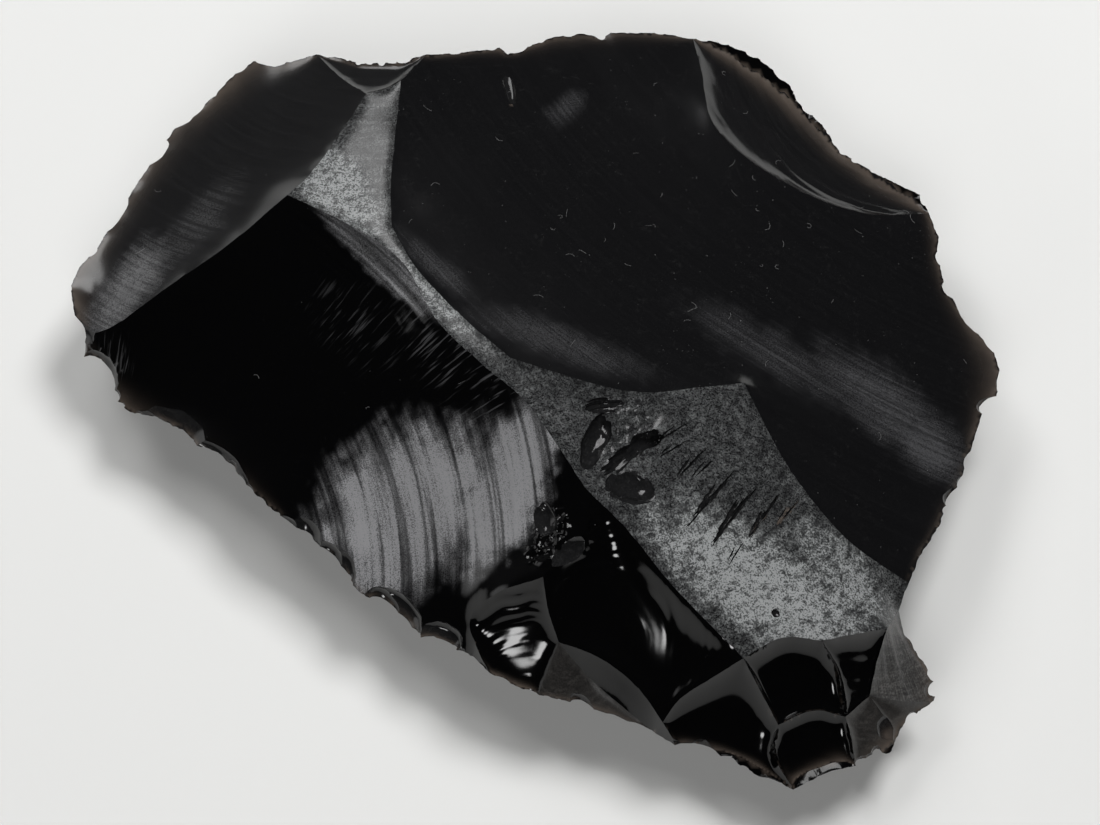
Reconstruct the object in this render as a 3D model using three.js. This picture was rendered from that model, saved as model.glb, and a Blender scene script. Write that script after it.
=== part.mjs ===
// Obsidian chunk: one piece of volcanic glass, broken by hand into curved fracture faces.
//
// Frame, in millimetres: +X along the chunk's length, +Y across it, +Z up. The origin is at the
// middle of the chunk's footprint, at the height of the flat fracture face that it rests on.
//
// The glass is described as a knapper would draw it: named corners, the ridges that run between
// them, and the fracture faces that the ridges enclose. A face is stretched between its ridges as a
// smooth sheet and then scooped a little, because every fracture in glass is slightly hollow.

import * as THREE from 'three';
import { mergeVertices } from 'three/addons/utils/BufferGeometryUtils.js';

// Driving dimensions.
const LENGTH = 94;            // over the two ends
const BREADTH = 81;           // from the thin front tip to the back edge
const RIDGE_HEIGHT = 21;      // highest ridge above the resting face
const RIM_STEP = 1.9;         // longest straight piece along the outer edge
const RIDGE_STEP = 1.9;       // spacing of the corners along a ridge
const WELD = 1e-4;            // corners closer than this are one corner

// Corners where ridges meet, as x, y and height.
const CORNERS = {
  // around the outer edge, from the left end over the back to the right and the front
  westTip: [-45.5, 7, 8.5],
  crownLeft: [-22.5, 37, 13.5],
  crownRight: [-11, 35.5, 16],
  northPeak: [16.5, 40, 12],
  northEast: [40.5, 20.5, 9.5],
  eastSide: [43.5, -6, 9.5],
  eastFold: [36.5, -21, 11],
  eastNotch: [35.5, -23.5, 10],
  spurTip: [39, -31, 5],
  spurFoot: [35, -35.4, 5.5],
  shellFoot: [31, -38.1, 6.5],
  southTip: [25, -BREADTH / 2, 6.5],
  spineFoot: [14, -36.4, 7],
  greyRight: [12, -34.7, 6],
  greyLeft: [0.5, -31.4, 8],
  lobeFoot: [-4.2, -29.3, 8.5],
  westBend: [-24.5, -13.5, 9],
  // on the upper side
  crownNotch: [-17, 30, 17.5],
  crownInner: [-13.5, 31.5, 17.5],
  hub: [-24.5, 17.5, 19],
  stripTopLeft: [-15.5, 12, 19.8],
  stripTopRight: [-14, 13.5, 20],
  stripEndLeft: [-4.5, -2.5, 20.8],
  stripEndRight: [-2.2, -1.5, RIDGE_HEIGHT],
  nose: [6.5, -4.5, RIDGE_HEIGHT],
  brow: [12, -5, 20.5],
  crackEnd: [20.5, -3.5, 19.5],
  neck: [5, -15, 20.5],
  elbow: [1, -23, 17.5],
  greyTop: [2.5, -27.5, 12],
  spineEnd: [12.5, -34.4, 8.5],
  heel: [20, -30.5, 15.5],
  shellTop: [27.5, -28.5, 15],
  shoulder: [34, -26.5, 13],
  shellKnot: [30, -34.2, 9.5],
  shellMid: [23.5, -35.2, 10],
  spurRoot: [32.5, -31.7, 8.5],
  // around the resting face
  restWest: [-21, 4, 0],
  restNorthWest: [-12, 15, 0],
  restNorth: [8, 18, 0],
  restNorthEast: [25, 10, 0],
  restEast: [28, -6, 0],
  restSouthEast: [20, -20, 0],
  restSouth: [0, -18, 0],
  restSouthWest: [-14, -9, 0],
};

// The outer edge, corner to corner. It is chipped, so it runs straight between its points.
const RIM = {
  rimLeaf: ['westTip', [[-46.5, 9, 9], [-LENGTH / 2, 12, 9.5], [-46.3, 14.3, 9.5], [-44.5, 16.6, 9.5],
    [-41, 23.7, 9.5], [-37, 31, 9.5], [-34, 33.3, 10], [-31, 36.3, 11], [-28.5, 37.6, 12],
    [-25.2, 36.4, 13]], 'crownLeft'],
  rimCrown: ['crownLeft', [[-20.5, 36.5, 14], [-17.5, 34.9, 15.2], [-14, 34.4, 16.4]], 'crownRight'],
  rimBack: ['crownRight', [[-7.5, 36.4, 15], [-3.4, 37.6, 14], [-2.7, 36.8, 14], [1.8, 39.4, 13],
    [5.2, 40.2, 12.5], [7, 39.5, 12.5], [8, 40.2, 12.5], [12.5, BREADTH / 2, 12]], 'northPeak'],
  rimShell: ['northPeak', [[20.5, 39.4, 11.5], [23.8, 37.8, 11], [27, 35, 10], [27.3, 33.6, 10],
    [29.8, 30.9, 10], [31.6, 27.8, 9.5], [35, 25.4, 9.5], [39.7, 22.7, 9.5]], 'northEast'],
  rimEast: ['northEast', [[41.4, 17.8, 9.5], [41.2, 16.2, 9.3], [41.8, 12.5, 9], [43.6, 8.8, 9],
    [46.3, 5.3, 9], [LENGTH / 2, 2.5, 9], [46.4, 0, 9], [45.2, -1, 9]], 'eastSide'],
  rimFold: ['eastSide', [[42.3, -9.6, 10], [40.2, -13.7, 11], [39.8, -15, 11], [37.9, -18, 11.5]],
    'eastFold'],
  rimRise: ['eastFold', [], 'eastNotch'],
  rimSpur: ['eastNotch', [[36.3, -25.6, 9], [38.3, -28, 7], [39.7, -29.6, 6]], 'spurTip'],
  rimSpurFoot: ['spurTip', [[37, -32.5, 5], [35.8, -33.9, 5.2]], 'spurFoot'],
  rimScallop: ['spurFoot', [[34.8, -36.3, 5.6], [33, -37.9, 6]], 'shellFoot'],
  rimToe: ['shellFoot', [[29, -38.9, 6.4], [26.3, -39.8, 6.4]], 'southTip'],
  rimFront: ['southTip', [[22, -39.3, 6.5], [19, -37.8, 6.8], [16, -37.3, 7]], 'spineFoot'],
  rimSpine: ['spineFoot', [], 'greyRight'],
  rimGrey: ['greyRight', [[7.5, -33.1, 7], [4, -32, 7.4]], 'greyLeft'],
  rimLobe: ['greyLeft', [[-2.4, -30.3, 8]], 'lobeFoot'],
  rimFace: ['lobeFoot', [[-6.3, -27.3, 8.4], [-9.4, -26.3, 8.5], [-12.6, -24.8, 8], [-15.2, -22.4, 8],
    [-18, -20, 8.5], [-21.3, -16.5, 9]], 'westBend'],
  rimWest: ['westBend', [[-28.4, -10, 9], [-31.5, -7.4, 9], [-35, -5.1, 9], [-39.2, -2.2, 8],
    [-42.3, 0.4, 7.5], [-42.9, 2.2, 7.5], [-46, 5.2, 7.5]], 'westTip'],
};

// Ridges and folds of the upper side. They are smooth curves through their points.
const RIDGES = {
  leafTop: ['crownLeft', [[-19.3, 32.4, 16]], 'crownNotch'],
  crownBase: ['crownNotch', [[-15, 30.4, 17.7]], 'crownInner'],
  crownSide: ['crownInner', [[-12.3, 33.4, 16.8]], 'crownRight'],
  shellEdge: ['northPeak', [[17.3, 35, 13.6], [18.2, 28.2, 15], [21, 24.8, 14.6], [27.8, 21, 12.8],
    [34, 19.7, 11]], 'northEast'],
  leafRidge: ['crownNotch', [[-19, 26, 18], [-22.5, 19.8, 18.7]], 'hub'],
  westRidge: ['hub', [[-30, 13.3, 17], [-36, 10, 14.4], [-42.5, 7, 10.5]], 'westTip'],
  wedgeRight: ['crownInner', [[-13.8, 26, 18.5], [-14.2, 18, 19.4]], 'stripTopRight'],
  wedgeLeft: ['hub', [[-20, 15, 19.3]], 'stripTopLeft'],
  stripTop: ['stripTopLeft', [], 'stripTopRight'],
  stripRight: ['stripTopRight', [[-11.6, 8.8, 20.4], [-6.8, 3, 20.7]], 'stripEndRight'],
  stripLeft: ['stripTopLeft', [[-12.7, 9.2, 20.1], [-9.2, 2.6, 20.5]], 'stripEndLeft'],
  stripEnd: ['stripEndLeft', [], 'stripEndRight'],
  satinBack: ['stripEndRight', [[2, -3, RIDGE_HEIGHT]], 'nose'],
  satinFront: ['stripEndLeft', [[-1, -5.8, 20.9], [2.2, -10.5, 20.9]], 'neck'],
  notchLeft: ['nose', [[7.6, -7.4, 19.9], [6.2, -10.5, 19.8]], 'neck'],
  notchBack: ['nose', [[9.4, -5, 20.8]], 'brow'],
  notchRight: ['brow', [[12.6, -7.4, 20], [9.2, -11.7, 20]], 'neck'],
  crack: ['brow', [[16.2, -4.3, 20.2]], 'crackEnd'],
  fold: ['crackEnd', [[25, -12, 17.6], [30.3, -17.9, 15]], 'eastFold'],
  backSlope: ['crackEnd', [[30, -4.4, 15.5], [37, -5.3, 12.3]], 'eastSide'],
  satinLip: ['neck', [[9, -18.9, 19.4], [13, -23.7, 18]], 'heel'],
  shellLip: ['heel', [[23.6, -28.5, 15.7]], 'shellTop'],
  shoulderLip: ['shellTop', [[31, -27.5, 14.2]], 'shoulder'],
  notchRise: ['shoulder', [], 'eastNotch'],
  spurCrest: ['shoulder', [[33.2, -28.8, 11.2]], 'spurRoot'],
  spurKeel: ['spurRoot', [[36, -31.6, 6.8]], 'spurTip'],
  scallopKeel: ['spurRoot', [[34.2, -33.6, 6.8]], 'spurFoot'],
  knotRidge: ['spurRoot', [], 'shellKnot'],
  shellWall: ['shellTop', [[29.2, -30.9, 12]], 'shellKnot'],
  shellArc: ['shellKnot', [[27, -33.8, 10.2]], 'shellMid'],
  heelRidge: ['shellMid', [[21.8, -32.8, 12.4]], 'heel'],
  toeRidge: ['shellMid', [[23.2, -37.5, 8]], 'southTip'],
  scallopWall: ['shellKnot', [[30.7, -36.3, 8]], 'shellFoot'],
  frontArc: ['heel', [[17, -31.6, 13], [14, -32.9, 10.5]], 'spineEnd'],
  spine: ['greyTop', [[6, -28.8, 11.8], [10, -31.3, 10]], 'spineEnd'],
  spineDrop: ['spineEnd', [], 'spineFoot'],
  greyRidge: ['greyTop', [[5.3, -29.9, 9.3], [9, -32.7, 7.4]], 'greyRight'],
  greySide: ['greyTop', [], 'greyLeft'],
  lobeRidge: ['greyTop', [[1.5, -25.3, 14.5]], 'elbow'],
  frontRidge: ['neck', [[4.6, -19, 19.4]], 'elbow'],
  lobeArc: ['elbow', [[-3.6, -23.6, 14.6], [-6.1, -25, 10.8], [-5.3, -27.4, 9.8]], 'lobeFoot'],
};

// Ridges of the underside, and the outline of the resting face.
const KEELS = {
  keelWest: ['restWest', [[-33, 5.5, 3]], 'westTip'],
  keelNorthWest: ['restNorthWest', [[-17.5, 26, 5]], 'crownLeft'],
  keelNorth: ['restNorth', [[12.5, 29, 4.4]], 'northPeak'],
  keelNorthEast: ['restNorthEast', [[33, 15.5, 3.6]], 'northEast'],
  keelEast: ['restEast', [[36, -6.3, 3.6]], 'eastSide'],
  keelSouthEast: ['restSouthEast', [[22.8, -31, 2.4]], 'southTip'],
  keelSouth: ['restSouth', [[-2.8, -23.8, 3.2]], 'lobeFoot'],
  keelSouthWest: ['restSouthWest', [[-19.5, -11.5, 3.4]], 'westBend'],
  restEdge1: ['restWest', [], 'restNorthWest'],
  restEdge2: ['restNorthWest', [], 'restNorth'],
  restEdge3: ['restNorth', [], 'restNorthEast'],
  restEdge4: ['restNorthEast', [], 'restEast'],
  restEdge5: ['restEast', [], 'restSouthEast'],
  restEdge6: ['restSouthEast', [], 'restSouth'],
  restEdge7: ['restSouth', [], 'restSouthWest'],
  restEdge8: ['restSouthWest', [], 'restWest'],
};

/** A fracture face: the point its rings close on, the scoop at that point, and the edges around it. */
function face(name, heart, scoop, rings, edges) {
  return { name, heart, scoop, rings, edges: edges.split(' ') };
}

// Fracture faces of the upper side. A face with no heart is a narrow strip with no rings in it.
const UPPER_FACES = [
  face('leaf', [-30.5, 21.5], 0.9, 4, 'rimLeaf leafTop leafRidge westRidge'),
  face('crown', [-15.2, 32.8], 0.3, 1, 'rimCrown crownSide crownBase leafTop'),
  face('wedge', [-17.8, 19], 0.2, 3, 'crownBase wedgeRight stripTop wedgeLeft leafRidge'),
  face('strip', null, 0, 0, 'stripTop stripRight stripEnd stripLeft'),
  face('satin', [1.4, -6.2], 0.2, 2, 'stripEnd satinBack notchLeft satinFront'),
  face('back', [10.6, 12.4], -0.4, 5,
    'crownSide rimBack shellEdge rimEast backSlope crack notchBack satinBack stripRight ' +
    'wedgeRight'),
  face('slope', [33.5, -11.5], 0, 3, 'backSlope rimFold fold'),
  face('shell', [25.6, 28.3], 0.8, 2, 'rimShell shellEdge'),
  face('notch', [9, -7.5], 1.4, 2, 'notchBack notchRight notchLeft'),
  face('sole', [20, -19], 0.3, 4,
    'crack fold rimRise notchRise shoulderLip shellLip satinLip notchRight'),
  face('face', [-22, -6], 2.4, 5,
    'wedgeLeft stripLeft satinFront frontRidge lobeArc rimFace rimWest westRidge'),
  face('front', [10.3, -26.4], 1, 3, 'satinLip frontArc spine lobeRidge frontRidge'),
  face('lobe', [-2.2, -26.6], 0.5, 2, 'lobeRidge greySide rimLobe lobeArc'),
  face('spineStripe', null, 0, 0, 'spine spineDrop rimSpine greyRidge'),
  face('grey', [4.2, -30.3], 0.2, 1, 'greyRidge rimGrey greySide'),
  face('shellMiddle', [25.3, -30.6], 0.9, 2, 'shellLip shellWall shellArc heelRidge'),
  face('shellRight', [31.3, -29.6], 0.6, 1, 'shoulderLip spurCrest knotRidge shellWall'),
  face('shellLeft', [18.8, -34], 0.8, 2, 'heelRidge toeRidge rimFront spineDrop frontArc'),
  face('shellToe', [27, -35.2], 0.6, 1, 'shellArc scallopWall rimToe toeRidge'),
  face('scallop', [32.6, -34.2], 0.3, 1, 'knotRidge scallopKeel rimScallop scallopWall'),
  face('spur', [35.8, -28.6], 0.2, 1, 'notchRise rimSpur spurKeel spurCrest'),
  face('spurFoot', [35.6, -32.2], 0.2, 1, 'spurKeel rimSpurFoot scallopKeel'),
];
// Fracture faces of the underside.
const LOWER_FACES = [
  face('underWest', [-27, 21], 1.6, 3, 'keelWest rimLeaf keelNorthWest restEdge1'),
  face('underNorth', [-1, 25], 1.8, 3, 'keelNorthWest rimCrown rimBack keelNorth restEdge2'),
  face('underNorthEast', [22, 25], 1.2, 3, 'keelNorth rimShell keelNorthEast restEdge3'),
  face('underEast', [36, 5], 1.3, 3, 'keelNorthEast rimEast keelEast restEdge4'),
  face('underSouthEast', [29.5, -21], 0.8, 3,
    'keelEast rimFold rimRise rimSpur rimSpurFoot rimScallop rimToe keelSouthEast restEdge5'),
  face('underSouth', [10, -25], 1, 3,
    'keelSouthEast rimFront rimSpine rimGrey rimLobe keelSouth restEdge6'),
  face('underSouthWest', [-11, -18], 0.8, 2, 'keelSouth rimFace keelSouthWest restEdge7'),
  face('underFarWest', [-27, -3], 1.1, 3, 'keelSouthWest rimWest keelWest restEdge8'),
  face('rest', [3, -1], 0, 2,
    'restEdge1 restEdge2 restEdge3 restEdge4 restEdge5 restEdge6 restEdge7 restEdge8'),
];

/** Splits a straight run into equal pieces no longer than the step, without its last point. */
function splitStraight(start, end, step) {
  const count = Math.max(1, Math.ceil(start.distanceTo(end) / step));
  return Array.from({ length: count }, (_, i) => start.clone().lerp(end, i / count));
}

/** The corners along one edge, both ends included: straight runs on the rim, a curve elsewhere. */
function traceEdge([from, between, to], isRim) {
  const points = [CORNERS[from], ...between, CORNERS[to]].map((p) => new THREE.Vector3(...p));
  if (isRim || points.length === 2) {
    const runs = points.slice(1).flatMap((end, i) => splitStraight(points[i], end, RIM_STEP));
    return [...runs, points.at(-1)];
  }
  const curve = new THREE.CatmullRomCurve3(points, false, 'centripetal');
  const samples = curve.getSpacedPoints(Math.max(2, Math.round(curve.getLength() / RIDGE_STEP)));
  samples[0] = points[0];
  samples[samples.length - 1] = points.at(-1);
  return samples;
}

/** Every edge of the chunk as its list of corners. */
function traceAll() {
  const traced = new Map();
  for (const [name, edge] of Object.entries(RIM)) traced.set(name, traceEdge(edge, true));
  for (const [name, edge] of Object.entries({ ...RIDGES, ...KEELS })) {
    traced.set(name, traceEdge(edge, false));
  }
  return traced;
}

/** Joins a face's edges end to end into one closed loop that runs counter-clockwise in plan. */
function joinLoop(edgeNames, traced) {
  const meets = (a, b) => a.distanceTo(b) < WELD;
  const runs = edgeNames.map((name) => [...traced.get(name)]);
  const second = runs[1];
  if (meets(runs[0][0], second[0]) || meets(runs[0][0], second.at(-1))) runs[0].reverse();
  for (let i = 1; i < runs.length; i += 1) {
    if (!meets(runs[i - 1].at(-1), runs[i][0])) runs[i].reverse();
    if (!meets(runs[i - 1].at(-1), runs[i][0])) throw new Error(`gap before ${edgeNames[i]}`);
  }
  const loop = runs.flatMap((run) => run.slice(0, -1));
  return THREE.ShapeUtils.area(loop) > 0 ? loop : loop.reverse();
}

/** Height of the smooth sheet stretched over a loop, by mean value coordinates in plan. */
function sheetHeight(loop, x, y) {
  const spokes = loop.map((p) => ({ x: p.x - x, y: p.y - y, r: Math.hypot(p.x - x, p.y - y) }));
  const halfTan = spokes.map((a, i) => {
    const b = spokes[(i + 1) % spokes.length];
    return (a.r * b.r - (a.x * b.x + a.y * b.y)) / (a.x * b.y - a.y * b.x);
  });
  let total = 0;
  let height = 0;
  loop.forEach((p, i) => {
    const before = halfTan[(i + loop.length - 1) % loop.length];
    const weight = (before + halfTan[i]) / spokes[i].r;
    total += weight;
    height += weight * p.z;
  });
  return height / total;
}

/** Triangles of one face as corner triples, counter-clockwise in plan. */
function tileFace({ heart, scoop, rings, edges }, side, traced) {
  const loop = joinLoop(edges, traced);
  if (!heart) {
    return THREE.ShapeUtils.triangulateShape(loop, []).map((ids) => ids.map((i) => loop[i]));
  }
  const [heartX, heartY] = heart;
  const settle = (x, y, shrink) => {
    const sunk = side * scoop * (1 - shrink * shrink);
    return new THREE.Vector3(x, y, sheetHeight(loop, x, y) - sunk);
  };
  const triangles = [];
  let outer = loop;
  for (let ring = 1; ring <= rings; ring += 1) {
    const shrink = 1 - ring / (rings + 1);
    const inner = loop.map((p) => settle(
      THREE.MathUtils.lerp(heartX, p.x, shrink), THREE.MathUtils.lerp(heartY, p.y, shrink), shrink));
    for (let i = 0; i < loop.length; i += 1) {
      const next = (i + 1) % loop.length;
      triangles.push([outer[i], outer[next], inner[next]], [outer[i], inner[next], inner[i]]);
    }
    outer = inner;
  }
  const centre = settle(heartX, heartY, 0);
  outer.forEach((p, i) => triangles.push([p, outer[(i + 1) % outer.length], centre]));
  return triangles;
}

/** The whole chunk as one closed surface with its faces pointing out. */
function chunkGeometry() {
  const traced = traceAll();
  const upper = UPPER_FACES.flatMap((f) => tileFace(f, 1, traced));
  const lower = LOWER_FACES.flatMap((f) => tileFace(f, -1, traced));
  const corners = [...upper.flat(), ...lower.flatMap(([a, b, c]) => [a, c, b])];
  const geometry = new THREE.BufferGeometry().setFromPoints(corners);
  return mergeVertices(geometry, WELD);
}

const obsidian = new THREE.MeshStandardMaterial({
  color: 0x17181a,
  roughness: 0.25,
  metalness: 0,
  flatShading: true,
});

const chunk = new THREE.Mesh(chunkGeometry(), obsidian);
chunk.name = 'obsidian_chunk';

const group = new THREE.Group();
group.name = 'obsidian';
group.add(chunk);

export default group;
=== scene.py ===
"""Obsidian chunk: a broken piece of black volcanic glass on a pale studio floor.

The chunk is drawn as a knapper would: corners, the ridges that run between them, and the fracture
faces that the ridges enclose. Each face is a smooth sheet stretched between its ridges, scooped
and rippled about the point where its blow landed. Small flakes are then struck off with cutters,
and every face gets the finish of its fracture: polished, satin, frosted or hackled. The pale grey
of the satin, frosted and hackled finishes is partly painted sheen for light that rough glass
scatters, and thin rims get a painted brown glow for light shining through them.
"""

from __future__ import annotations

import sys

import logging
import math
import random
from dataclasses import dataclass, field
from enum import Enum
from typing import Any

import bmesh
import bpy
import numpy as np
from mathutils import Matrix, Vector
from mathutils.bvhtree import BVHTree
from mathutils.geometry import delaunay_2d_cdt
from mathutils.kdtree import KDTree


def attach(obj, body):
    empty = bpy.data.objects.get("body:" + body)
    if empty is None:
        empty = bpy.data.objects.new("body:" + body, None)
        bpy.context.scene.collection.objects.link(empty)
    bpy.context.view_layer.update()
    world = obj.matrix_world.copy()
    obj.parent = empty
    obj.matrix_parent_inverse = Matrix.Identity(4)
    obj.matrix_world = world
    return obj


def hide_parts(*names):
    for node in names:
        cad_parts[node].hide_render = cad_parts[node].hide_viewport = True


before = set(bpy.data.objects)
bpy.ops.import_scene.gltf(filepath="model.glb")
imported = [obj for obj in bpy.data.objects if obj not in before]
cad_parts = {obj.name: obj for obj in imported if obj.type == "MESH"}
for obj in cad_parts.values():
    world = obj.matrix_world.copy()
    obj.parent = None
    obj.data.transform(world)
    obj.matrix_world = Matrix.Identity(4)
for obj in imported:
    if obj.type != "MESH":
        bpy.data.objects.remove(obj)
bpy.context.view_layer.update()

LOG = logging.getLogger("obsidian")
MM = 0.001
BODY = "root"
NODE = "obsidian_chunk"

Point = tuple[float, float, float]
Colour = tuple[float, float, float]


# ---------------------------------------------------------------------------------------------
# The ridge network, in millimetres: the same corners and lines as the CAD solid
# ---------------------------------------------------------------------------------------------

CORNERS: dict[str, Point] = {
    "westTip": (-45.5, 7, 8.5), "crownLeft": (-22.5, 37, 13.5), "crownRight": (-11, 35.5, 16),
    "northPeak": (16.5, 40, 12), "northEast": (40.5, 20.5, 9.5), "eastSide": (43.5, -6, 9.5),
    "eastFold": (36.5, -21, 11), "eastNotch": (35.5, -23.5, 10), "spurTip": (39, -31, 5),
    "spurFoot": (35, -35.4, 5.5), "shellFoot": (31, -38.1, 6.5), "southTip": (25, -40.5, 6.5),
    "spineFoot": (14, -36.4, 7), "greyRight": (12, -34.7, 6), "greyLeft": (0.5, -31.4, 8),
    "lobeFoot": (-4.2, -29.3, 8.5), "westBend": (-24.5, -13.5, 9), "crownNotch": (-17, 30, 17.5),
    "crownInner": (-13.5, 31.5, 17.5), "hub": (-24.5, 17.5, 19), "stripTopLeft": (-15.5, 12, 19.8),
    "stripTopRight": (-14, 13.5, 20), "stripEndLeft": (-4.5, -2.5, 20.8),
    "stripEndRight": (-2.2, -1.5, 21), "nose": (6.5, -4.5, 21), "brow": (12, -5, 20.5),
    "crackEnd": (20.5, -3.5, 19.5), "neck": (5, -15, 20.5), "elbow": (1, -23, 17.5),
    "greyTop": (2.5, -27.5, 12), "spineEnd": (12.5, -34.4, 8.5), "heel": (20, -30.5, 15.5),
    "shellTop": (27.5, -28.5, 15), "shoulder": (34, -26.5, 13), "shellKnot": (30, -34.2, 9.5),
    "shellMid": (23.5, -35.2, 10), "spurRoot": (32.5, -31.7, 8.5), "restWest": (-21, 4, 0),
    "restNorthWest": (-12, 15, 0), "restNorth": (8, 18, 0), "restNorthEast": (25, 10, 0),
    "restEast": (28, -6, 0), "restSouthEast": (20, -20, 0), "restSouth": (0, -18, 0),
    "restSouthWest": (-14, -9, 0),
}


class EdgeKind(Enum):
    """How an edge runs between its points, and how far it strays from them (mm)."""

    RIM = 0.16
    BATTERED_RIM = 0.3
    RIDGE = 0.05
    SEAM = 0.0


@dataclass(frozen=True)
class Edge:
    """One line of the network, from corner to corner.

    Args:
        start: Name of the first corner.
        end: Name of the last corner.
        points: Points that it passes in between, in millimetres.
        kind: Whether it is a rim, a ridge or a smooth seam.
    """

    start: str
    end: str
    points: tuple[Point, ...] = ()
    kind: EdgeKind = EdgeKind.RIDGE


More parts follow.
